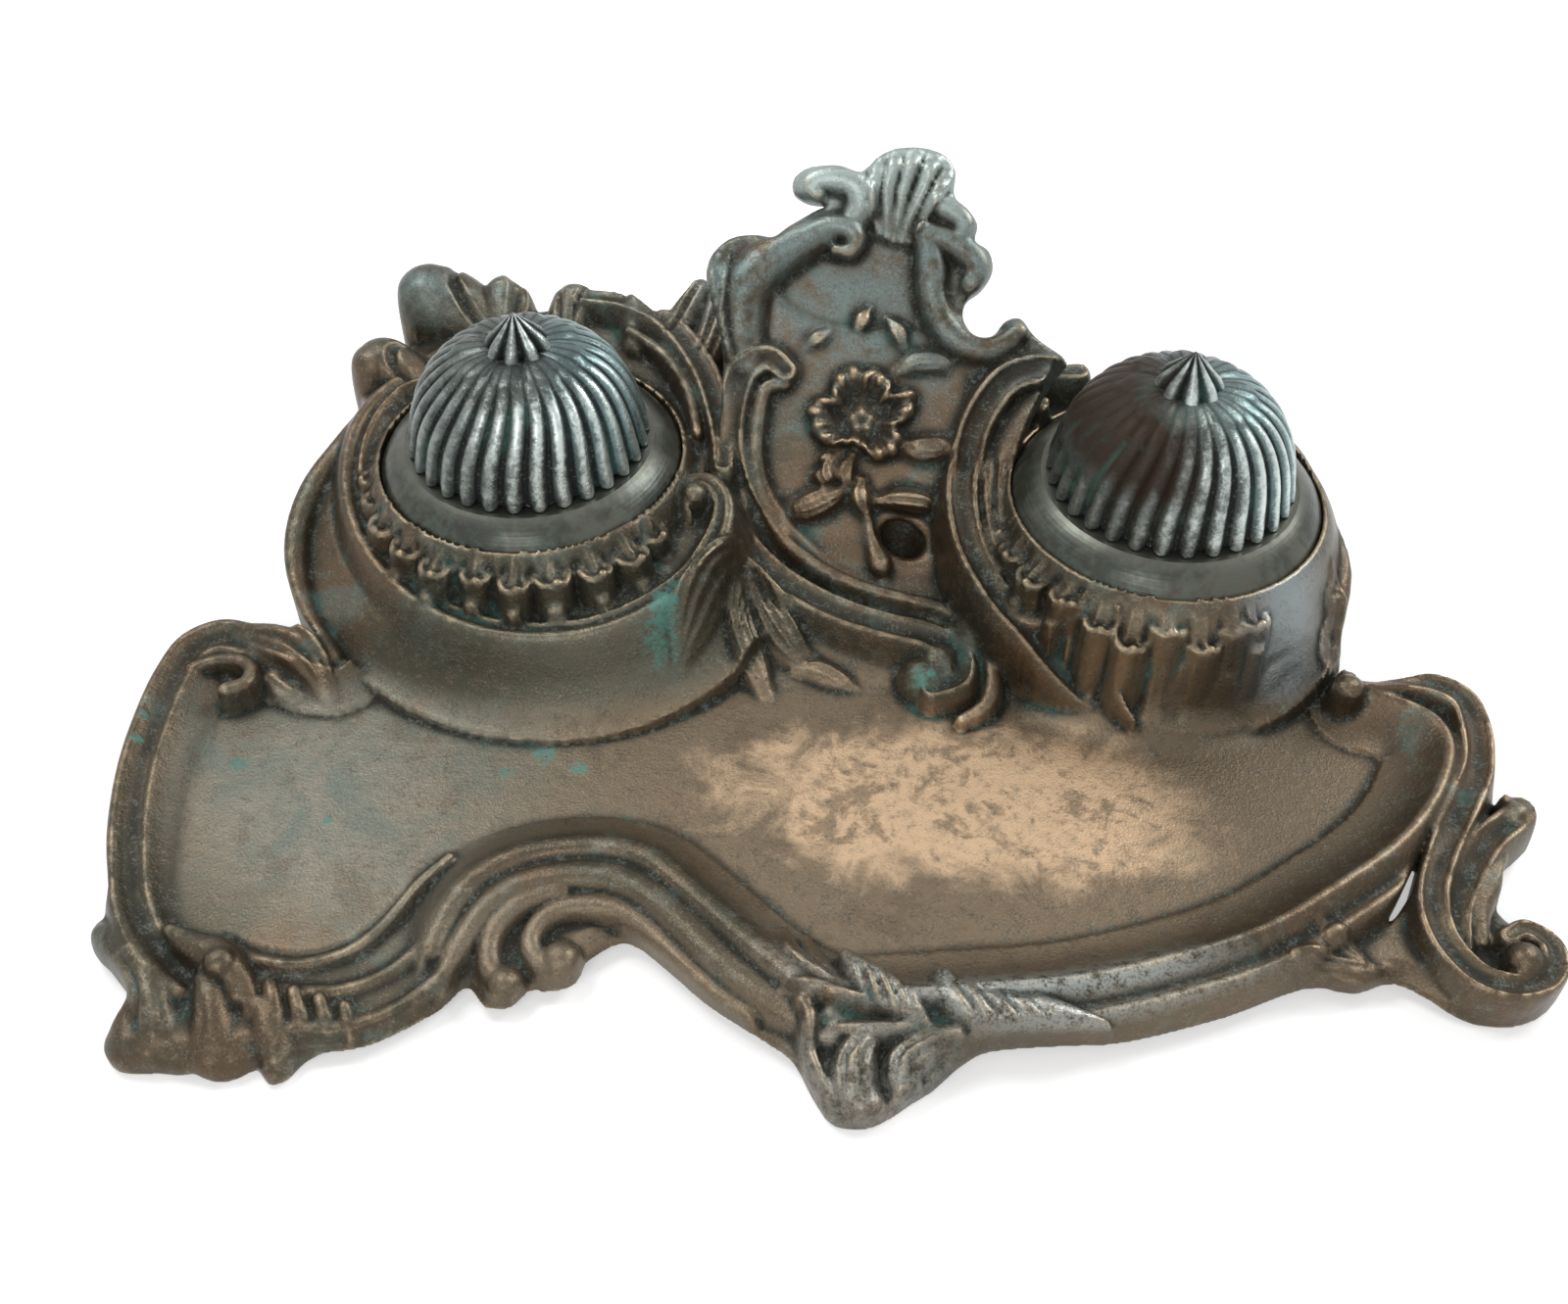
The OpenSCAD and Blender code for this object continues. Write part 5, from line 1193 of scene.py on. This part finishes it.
def object_place(tree):
    """The place on the piece, in millimetres."""
    metres = add_node(tree, "ShaderNodeTexCoord", output="Object")
    return add_node(tree, "ShaderNodeMapping", inputs={"Vector": metres, "Scale": (1000, 1000, 1000)})


def carved(tree, name):
    """What a piece's corners say of their surface: its edges or its hollows."""
    return add_node(tree, "ShaderNodeAttribute", {"attribute_name": name}, output=2)


def add_bump(tree, shader, strength, distance, height):
    """Roughens a finish without moving its surface."""
    bump = add_node(tree, "ShaderNodeBump", inputs={
        "Strength": strength, "Distance": distance, "Height": height})
    feed(tree, shader.inputs["Normal"], bump)


def noise(tree, place, scale, detail, rough, warp=0.0):
    """Clouds from 0 to 1, finer as scale goes up."""
    return add_node(tree, "ShaderNodeTexNoise", inputs={
        "Vector": place, "Scale": scale, "Detail": detail, "Roughness": rough, "Distortion": warp})


def blend(tree, amount, under, over):
    """Mixes two colours; amount 1 gives over."""
    colours = [(*value, 1) if isinstance(value, tuple) else value for value in (under, over)]
    return add_node(tree, "ShaderNodeMix", {"data_type": "RGBA"},
                    {0: amount, 6: colours[0], 7: colours[1]}, output=2)


def spot(x, y, cx, cy, radius_x, radius_y, soft):
    """1 inside an ellipse on the plan, fading to 0 at its edge."""
    far = (((x - cx) / radius_x) ** 2 + ((y - cy) / radius_y) ** 2) ** 0.5
    return far.ramp(1 - soft, 1 + soft * 0.2, 1.0, 0.0)


# Dark patina in the hollows, deepened with painted shade.
DARK_PATINA_AND_SHADE = (0.014, 0.015, 0.012)
OLIVE_BRONZE = (0.066, 0.060, 0.042)
BROWN_BRONZE = (0.115, 0.080, 0.050)
# Worn gold on the edges, also standing for painted highlights.
WORN_GOLD_AND_HIGHLIGHT = (0.47, 0.36, 0.23)
# Copper rubbed bare in the pan, brightened as a painted sheen.
ROSE_COPPER = (0.60, 0.425, 0.27)
GREEN_GREY = (0.115, 0.140, 0.122)
VERDIGRIS = (0.105, 0.27, 0.225)
# The next six colours are painted sheens, highlights and reflections on the casting.
COOL_SHEEN_BLUE = (0.15, 0.205, 0.205)
CREST_SHEEN = (0.40, 0.475, 0.455)
FRONT_SHEEN = (0.38, 0.41, 0.39)
SLOPE_SHEEN = (0.17, 0.165, 0.125)
LIT_FLUTES = (0.300, 0.245, 0.170)
WALL_REFLECTION = (0.33, 0.40, 0.42)
PAN_GREY = (0.185, 0.172, 0.137)
PAN_BROWN = (0.186, 0.142, 0.095)
PAN_STAIN = (0.135, 0.100, 0.066)
PAN_HAZE = (0.105, 0.135, 0.118)
PAN_SHADE = (0.104, 0.080, 0.053)
LIGHT_SPECKS = (0.26, 0.24, 0.19)
DARK_SPECKS = (0.035, 0.033, 0.026)
LID_DARK = (0.060, 0.068, 0.064)
LID_GREY = (0.125, 0.140, 0.128)
# Painted cool reflection on the lids.
LID_BLUE_REFLECTION = (0.18, 0.29, 0.30)
# Painted shade in the lids' grooves.
LID_GROOVE_SHADE = (0.012, 0.015, 0.015)
# Painted highlights on the lids' ribs.
RIB_HIGHLIGHT = (0.72, 0.80, 0.77)
LID_SCRATCHES = (0.30, 0.33, 0.31)
# A flank rubbed smooth, darkened as painted shade.
RUBBED_FLANK_SHADE = (0.032, 0.019, 0.011)
COLLAR_DARK = (0.050, 0.053, 0.044)
COLLAR_OLIVE = (0.105, 0.102, 0.080)
COLLAR_GREEN = (0.075, 0.105, 0.090)
# Painted sheen on the collar's lip.
COLLAR_LIP_SHEEN = (0.20, 0.20, 0.165)


# Where the casting stays darker, each (x, y, half width, half length, colour).
DARK_PATCHES = [(36, 44, 18, 42, (0.050, 0.038, 0.022)), (-132, -104, 36, 20, (0.062, 0.050, 0.034)),
                (-98, -8, 34, 14, (0.056, 0.064, 0.044))]
# Where verdigris has bloomed on the casting, each (x, y, radius).
VERDIGRIS_SPOTS = [(-41, -1, 9), (-40, 8, 7), (-66, -27, 6), (-74, -33, 4), (-138, -37, 5),
                   (-162, -30, 3), (23, 1, 7), (-161, -37, 3), (-57, -30, 5), (-112, -52, 3)]


def pan_colour(tree, place, x, y, big, patchy, fine):
    """The pan's floor: grey-brown at the left, rubbed to copper towards the right, with a painted sheen
    there.
    """
    stain = noise(tree, place, 0.085, 8, 0.68, 0.5)
    pan = blend(tree, x.ramp(-110, -40), PAN_GREY, PAN_BROWN)
    # Worn copper and a painted sheen, brightest right of the middle.
    wear_and_sheen_spot = spot(x, y, 34, -31, 92, 34, 0.95)
    copper_wear_and_sheen = (wear_and_sheen_spot * 1.15 + (big - 0.5) * 0.9 + (patchy - 0.5) * 1.5 + (fine - 0.5) * 0.5).ramp(0.36, 0.86)
    pan = blend(tree, copper_wear_and_sheen, pan, ROSE_COPPER)
    pan = blend(tree, (stain + (fine - 0.5) * 0.25).ramp(0.5, 0.63) * 0.65, pan, PAN_STAIN)
    left_haze = spot(x, y, -112, -45, 66, 50, 0.9) * patchy.ramp(0.38, 0.6)
    pan = blend(tree, left_haze * 0.6, pan, PAN_HAZE)
    far_end = (x + (y + 40) * 0.3).ramp(62, 108)
    return blend(tree, far_end * 0.85, pan, PAN_SHADE)


def cast_bronze():
    """Old brown bronze: dark patina with painted shade in its hollows, worn bright on its edges with painted
    highlights, rubbed to copper in the pan under a painted sheen, with painted sheens and reflections
    elsewhere.
    """
    material, tree, shader = new_finish("aged_cast_bronze")
    place = object_place(tree)
    x, y, z = split_place(tree, place)
    edge, hollow = carved(tree, "edge"), carved(tree, "hollow")
    big = noise(tree, place, 0.022, 5, 0.6, 0.4)
    patchy = noise(tree, place, 0.06, 7, 0.66, 0.7)
    fine = noise(tree, place, 0.34, 5, 0.65)
    grain = noise(tree, place, 1.6, 3, 0.65)
    # Olive ground with browner and greener clouds.
    colour = blend(tree, (big + (fine - 0.5) * 0.5).ramp(0.38, 0.62), OLIVE_BRONZE, BROWN_BRONZE)
    colour = blend(tree, (patchy + (fine - 0.5) * 0.3).ramp(0.5, 0.68) * 0.65, colour, GREEN_GREY)
    # Painted cool sheen on the crest and the rear leaves, and a painted pale sheen on the crest's top.
    high = z.ramp(38, 62) * (patchy * 0.6 + fine * 0.5).ramp(0.4, 0.62) * hollow.ramp(-0.5, 0.3, 0.35, 1.0)
    colour = blend(tree, high * 0.75, colour, COOL_SHEEN_BLUE)
    colour = blend(tree, z.ramp(80, 91) * (patchy + 0.2).ramp(0.4, 0.7) * 0.8, colour, CREST_SHEEN)
    # Painted sheen on the front rim and the middle foot, on the slope below the left well and on the right
    # well's fluted wall, and a painted cool reflection on the smooth wall at the right.
    sheen = spot(x, y, 66, -84, 80, 16, 0.8) * z.ramp(8, 12)
    sheen = sheen.math("MAXIMUM", spot(x, y, 16, -104, 22, 16, 0.8) * 0.5)
    colour = blend(tree, sheen * (fine + (grain - 0.5) * 0.5).ramp(0.32, 0.56) * 0.85, colour, FRONT_SHEEN)
    slope = spot(x, y, -44, -6, 50, 18, 0.8) * z.ramp(8, 12)
    colour = blend(tree, slope * 0.5, colour, SLOPE_SHEEN)
    flutes = spot(x, y, 76, -2, 26, 12, 0.7) * z.ramp(9, 13) * z.ramp(34, 40, 1.0, 0.0)
    colour = blend(tree, flutes * 0.5, colour, LIT_FLUTES)
    smooth = spot(x, y, 108, 12, 15, 22, 0.9) * z.ramp(11, 17)
    colour = blend(tree, smooth * (patchy + 0.25).ramp(0.4, 0.7) * 0.65, colour, WALL_REFLECTION)
    for cx, cy, wide, long, shade in DARK_PATCHES:
        colour = blend(tree, spot(x, y, cx, cy, wide, long, 0.7) * 0.4, colour, shade)
    floor = z.ramp(9.5, 14.5, 1.0, 0.0) * z.ramp(3, 5)
    in_pan = floor * spot(x, y, 0, -40, 175, 62, 0.3) * hollow.ramp(-0.9, -0.3)
    colour = blend(tree, in_pan * 0.92, colour, pan_colour(tree, place, x, y, big, patchy, fine))
    # The hollows: dark patina, deepened with painted shade.
    deep = (hollow * -1 + (fine - 0.5) * 0.4).ramp(-0.06, 0.5)
    colour = blend(tree, deep * 0.92, colour, DARK_PATINA_AND_SHADE)
    colour = blend(tree, deep * (fine + (grain - 0.5) * 0.5).ramp(0.48, 0.66) * 0.5, colour, GREEN_GREY)
    # Edges rubbed bright and brightened further as painted highlights, more on the front and the flower than
    # behind; the flower's raised parts get painted highlights too.
    wear_and_highlight = (edge + (fine - 0.5) * 0.35 + (patchy - 0.5) * 0.35).ramp(0.07, 0.42)
    flower_wear_and_highlight = spot(x, y, -1, 55, 26, 40, 0.6) * z.ramp(22, 30)
    wear_and_highlight = wear_and_highlight * (0.66 + flower_wear_and_highlight * 0.3)
    wear_and_highlight = wear_and_highlight.math("MAXIMUM", flower_wear_and_highlight * (hollow + (fine - 0.5) * 0.6).ramp(0.2, 0.8) * 0.85)
    colour = blend(tree, wear_and_highlight, colour, WORN_GOLD_AND_HIGHLIGHT)
    # Fine mottling.
    colour = blend(tree, (grain + (fine - 0.5) * 0.6).ramp(0.52, 0.78) * 0.35, colour, LIGHT_SPECKS)
    colour = blend(tree, (grain - (fine - 0.5) * 0.6).ramp(0.26, 0.48, 1.0, 0.0) * 0.4, colour, DARK_SPECKS)
    # Verdigris: a few bloomed spots, and a haze in the hollows.
    bloom = 0.0
    for cx, cy, size in VERDIGRIS_SPOTS:
        bloom = spot(x, y, cx, cy, size, size, 0.9) + bloom
    speckle = noise(tree, place, 0.5, 5, 0.7)
    green = (bloom * (speckle * 1.5 - 0.15)).ramp(0.35, 0.75)
    green = green.math("MAXIMUM", deep * patchy.ramp(0.54, 0.7) * 0.4)
    colour = blend(tree, green * 0.85, colour, VERDIGRIS)
    feed(tree, shader.inputs["Base Color"], colour)
    dull = (green * 0.8).math("MAXIMUM", deep * 0.5)
    feed(tree, shader.inputs["Metallic"], 0.74 - dull * 0.6)
    rough = 0.34 + deep * 0.34 + green * 0.3 + in_pan * 0.05 + (patchy - 0.5) * 0.3 + (grain - 0.5) * 0.15
    feed(tree, shader.inputs["Roughness"], rough.clamped())
    height = grain * 0.45 + fine * 0.6 + speckle * green * 0.6
    add_bump(tree, shader, 0.4, 0.0007, height)
    shader.inputs["Specular IOR Level"].default_value = 0.3
    return material


def lid_bronze(name, centre, worn):
    """Blue-black bronze with painted highlights on its ribs, a painted cool reflection on its right side and
    painted shade in its grooves; worn rubs one flank to a smooth dark brown, painted dark as shade.
    """
    material, tree, shader = new_finish(name)
    place = object_place(tree)
    x, y, _ = split_place(tree, place)
    x, y = x - centre[0], y - centre[1]
    edge, hollow = carved(tree, "edge"), carved(tree, "hollow")
    cloud = noise(tree, place, 0.06, 6, 0.64, 0.5)
    fine = noise(tree, place, 0.5, 5, 0.66)
    strokes = noise(tree, place, 1.4, 3, 0.6)
    colour = blend(tree, (cloud + (fine - 0.5) * 0.4).ramp(0.38, 0.62), LID_DARK, LID_GREY)
    # Painted cool reflection on the right side of the lid.
    right_reflection = (x * 0.8 + y * 0.35 + (cloud - 0.5) * 26).ramp(-4, 20)
    colour = blend(tree, right_reflection * 0.7, colour, LID_BLUE_REFLECTION)
    flank = 0.0
    if worn:
        flank = (x + y * 0.25 + (cloud - 0.5) * 16).ramp(-12, 2, 1.0, 0.0)
        flank = flank * (x * x + y * y).ramp(640, 860, 1.0, 0.0)
    # Painted shade in the grooves.
    deep = (hollow * -1 + (fine - 0.5) * 0.35).ramp(-0.3, 0.5)
    colour = blend(tree, deep * 0.94, colour, LID_GROOVE_SHADE)
    # Painted highlights on the ribs' crests, brightest on the front and lighter towards the right.
    front = (y * -1 + (cloud - 0.5) * 20).ramp(-14, 16, 0.35, 1.0)
    wear_and_highlight = (edge + (fine - 0.5) * 0.5 + (strokes - 0.5) * 0.3).ramp(0.12, 0.52) * front
    lit = (cloud + (x * 0.012) + (fine - 0.5) * 0.5).ramp(0.36, 0.7, 0.25, 1.0)
    colour = blend(tree, wear_and_highlight * lit * 0.9, colour, RIB_HIGHLIGHT)
    colour = blend(tree, (strokes + (fine - 0.5) * 0.5).ramp(0.55, 0.75) * 0.3, colour, LID_SCRATCHES)
    # The worn flank: rubbed smooth, and painted dark brown as shade.
    if worn:
        colour = blend(tree, flank * 0.94, colour, RUBBED_FLANK_SHADE)
    green = deep * cloud.ramp(0.5, 0.7) * 0.3
    colour = blend(tree, green, colour, VERDIGRIS)
    feed(tree, shader.inputs["Base Color"], colour)
    feed(tree, shader.inputs["Metallic"], 0.8 - deep * 0.5 - flank * 0.6)
    rough = 0.28 + deep * 0.3 + (cloud - 0.5) * 0.3 + flank * 0.2
    feed(tree, shader.inputs["Roughness"], rough.clamped())
    add_bump(tree, shader, 0.35, 0.0005, fine + strokes * 0.6)
    shader.inputs["Specular IOR Level"].default_value = 0.15
    return material


def collar_bronze():
    """Turned bronze, smoother than the casting, with a soft sheen and a painted sheen along its upper lip.
    """
    material, tree, shader = new_finish("turned_collar_bronze")
    place = object_place(tree)
    z = split_place(tree, place)[2]
    cloud = noise(tree, place, 0.04, 5, 0.6, 0.6)
    fine = noise(tree, place, 0.4, 4, 0.6)
    turning = noise(tree, (z + fine * 0.4) * 3.0, 1.0, 2, 0.5)
    colour = blend(tree, (cloud + (fine - 0.5) * 0.4).ramp(0.36, 0.64), COLLAR_DARK, COLLAR_OLIVE)
    colour = blend(tree, fine.ramp(0.42, 0.66) * 0.5, colour, COLLAR_GREEN)
    # Painted sheen along the collar's upper lip.
    lip = z.ramp(43.6, 45.6)
    colour = blend(tree, lip * 0.3, colour, COLLAR_LIP_SHEEN)
    feed(tree, shader.inputs["Base Color"], colour)
    shader.inputs["Metallic"].default_value = 0.65
    feed(tree, shader.inputs["Roughness"], (0.33 + (cloud - 0.5) * 0.3 + (turning - 0.5) * 0.06).clamped())
    add_bump(tree, shader, 0.12, 0.0003, turning + fine * 0.6)
    return material


def plain_metal(name, light, dark, rough):
    """A small part's metal, with clouds of tarnish and fine scratches."""
    material, tree, shader = new_finish(name)
    place = object_place(tree)
    cloud = noise(tree, place, 0.16, 5, 0.62, 0.4)
    fine = noise(tree, place, 1.1, 3, 0.6)
    colour = blend(tree, (cloud + (fine - 0.5) * 0.3).ramp(0.38, 0.62), light, dark)
    feed(tree, shader.inputs["Base Color"], colour)
    shader.inputs["Metallic"].default_value = 0.95
    feed(tree, shader.inputs["Roughness"], cloud.ramp(0.3, 0.7, rough - 0.08, rough + 0.14).clamped())
    add_bump(tree, shader, 0.12, 0.0002, fine)
    return material


def cup_glass():
    """Thick pressed glass, faintly green, with a little dried ink inside the foot."""
    material, tree, shader = new_finish("pressed_cup_glass")
    place = object_place(tree)
    z = split_place(tree, place)[2]
    cloud = noise(tree, place, 0.08, 4, 0.6)
    ink = (z + (cloud - 0.5) * 6).ramp(15.5, 20, 1.0, 0.0)
    colour = blend(tree, ink * 0.8, (0.86, 0.93, 0.90), (0.05, 0.06, 0.10))
    feed(tree, shader.inputs["Base Color"], colour)
    feed(tree, shader.inputs["Roughness"], (0.06 + ink * 0.4 + (cloud - 0.5) * 0.04).clamped())
    shader.inputs["Transmission Weight"].default_value = 0.85
    shader.inputs["IOR"].default_value = 1.5
    return material


def paint_nodes(frame, finishes):
    """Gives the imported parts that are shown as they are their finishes."""
    for name, obj in frame["nodes"].items():
        for ending, material in finishes.items():
            if name.endswith(ending):
                if not obj.data.materials:
                    obj.data.materials.append(material)
                for slot in obj.material_slots:
                    slot.material = material


# ---- Floor, lights and camera ----

# How strongly the white surroundings light what isn't looking straight at them.
SURROUNDINGS = 0.42


def seen_straight(tree):
    """1 for what the camera sees, also in a reflection or through glass."""
    rays = {wire.socket.name: wire for wire in add_node(tree, "ShaderNodeLightPath").beside()}
    seen = rays["Is Camera Ray"].math("MAXIMUM", rays["Is Glossy Ray"])
    return seen.math("MAXIMUM", rays["Is Transmission Ray"])


def add_stage():
    """A white floor under the piece."""
    mesh = bpy.data.meshes.new("floor")
    far = 6.0
    corners = [(-far, -far, 0), (far, -far, 0), (far, far, 0), (-far, far, 0)]
    mesh.from_pydata(corners, [], [(0, 1, 2, 3)])
    floor = bpy.data.objects.new("floor", mesh)
    bpy.context.collection.objects.link(floor)
    material = bpy.data.materials.new("white_floor")
    material.use_nodes = True
    tree = material.node_tree
    tree.nodes.clear()
    out = tree.nodes.new("ShaderNodeOutputMaterial")
    diffuse = add_node(tree, "ShaderNodeBsdfDiffuse", inputs={"Color": (0.86, 0.86, 0.86, 1)})
    glow = add_node(tree, "ShaderNodeEmission", inputs={"Color": (1, 1, 1, 1), "Strength": SURROUNDINGS})
    lit = add_node(tree, "ShaderNodeAddShader", inputs={0: diffuse, 1: glow})
    surface = add_node(tree, "ShaderNodeMixShader", inputs={0: seen_straight(tree), 1: diffuse, 2: lit})
    feed(tree, out.inputs["Surface"], surface)
    mesh.materials.append(material)


def add_world():
    """White surroundings, as bright as the floor."""
    world = bpy.data.worlds.new("studio")
    bpy.context.scene.world = world
    world.use_nodes = True
    tree = world.node_tree
    tree.nodes.clear()
    out = tree.nodes.new("ShaderNodeOutputWorld")
    strength = seen_straight(tree).math("MAXIMUM", SURROUNDINGS)
    background = add_node(tree, "ShaderNodeBackground", inputs={"Color": (1, 1, 1, 1), "Strength": strength})
    feed(tree, out.inputs["Surface"], background)


def add_softbox(name, place, target, size, power):
    """A soft rectangular light that points at a target."""
    light = bpy.data.lights.new(name, "AREA")
    light.shape = "RECTANGLE"
    light.size, light.size_y = size
    light.energy = power
    obj = bpy.data.objects.new(name, light)
    obj.location = place
    obj.rotation_euler = (Vector(target) - Vector(place)).to_track_quat("-Z", "Y").to_euler()
    bpy.context.collection.objects.link(obj)


def add_camera():
    """Looks down on the piece from in front."""
    camera = bpy.data.cameras.new("camera")
    camera.lens = 38.6
    camera.sensor_width = 36
    camera.clip_start = 0.01
    obj = bpy.data.objects.new("camera", camera)
    obj.location = (0.0165, -0.2804, 0.3150)
    target = Vector((-0.0115, 0.005, 0.015))
    obj.rotation_euler = (target - obj.location).to_track_quat("-Z", "Y").to_euler()
    bpy.context.collection.objects.link(obj)
    bpy.context.scene.camera = obj


# ---- Everything together ----

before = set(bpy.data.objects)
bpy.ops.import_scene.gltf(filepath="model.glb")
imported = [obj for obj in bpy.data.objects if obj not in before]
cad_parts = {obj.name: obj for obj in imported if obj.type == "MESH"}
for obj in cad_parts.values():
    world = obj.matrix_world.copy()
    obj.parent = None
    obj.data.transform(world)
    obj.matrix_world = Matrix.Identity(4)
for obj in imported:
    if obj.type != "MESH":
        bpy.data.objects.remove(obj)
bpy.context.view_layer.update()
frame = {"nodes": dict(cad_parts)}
bpy.context.scene.view_settings.view_transform = "Standard"
add_camera()
add_world()
add_stage()
add_softbox("window", (0.62, 0.42, 0.62), target=(0.02, 0.02, 0.03), size=(0.34, 0.42), power=3.8)
add_softbox("overhead", (-0.42, 0.2, 0.82), target=(-0.03, 0.0, 0.02), size=(0.36, 0.36), power=2.8)
add_softbox("front_fill", (-0.15, -0.75, 0.75), target=(0, 0, 0.02), size=(0.4, 0.3), power=2.0)

bronze = cast_bronze()
add_casting(bronze)

# Sizes in metres and angles in radians.
LID_SIZES = {"Ribs": 30, "Steps per rib": 12, "Radius": 0.0304, "Height": 0.027, "Wall": 0.002,
             "Crown": 0.005, "Turn": 0.13, "Rib depth": 0.0021, "Bore": 0.00205, "Base": 0.0461,
             "Worn": 0.0, "Worn angle": 3.25}
KNOP_SIZES = {"Lobes": 8, "Steps per lobe": 14, "Radius": 0.0096, "Height": 0.0099, "Stud radius": 0.002,
              "Stud foot": 0.0666, "Base": 0.0731}
for side, centre, worn in (("left", LEFT_WELL, 0.0), ("right", RIGHT_WELL, 1.0)):
    finish = lid_bronze(side + "_lid_bronze", centre, worn)
    sizes = {**LID_SIZES, "Worn": worn}
    lid = shape_from_tree(side + "_ribbed_lid", lid_tree(finish, sizes), sizes, centre, finish)
    knop = shape_from_tree(side + "_lobed_knop", knop_tree(finish, KNOP_SIZES), KNOP_SIZES, centre, finish)
    for piece, node in ((lid, side + "_lid"), (knop, side + "_knop")):
        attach(piece, side + "_lid")
        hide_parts(node)

paint_nodes(frame, {
    "_collar": collar_bronze(),
    "_collar_screws": plain_metal("collar_screw_steel", (0.42, 0.42, 0.41), (0.22, 0.19, 0.16), 0.36),
    "_hinge_pin": plain_metal("hinge_pin_steel", (0.45, 0.45, 0.44), (0.25, 0.22, 0.19), 0.3),
    "_hinge_bracket": plain_metal("hinge_brass", (0.46, 0.30, 0.13), (0.20, 0.14, 0.08), 0.34),
    "_lid_leaf": plain_metal("lid_leaf_brass", (0.44, 0.29, 0.13), (0.19, 0.14, 0.09), 0.36),
    "_knop_nut": plain_metal("knop_nut_brass", (0.50, 0.34, 0.15), (0.26, 0.18, 0.09), 0.3),
    "_ink_cup": cup_glass()})
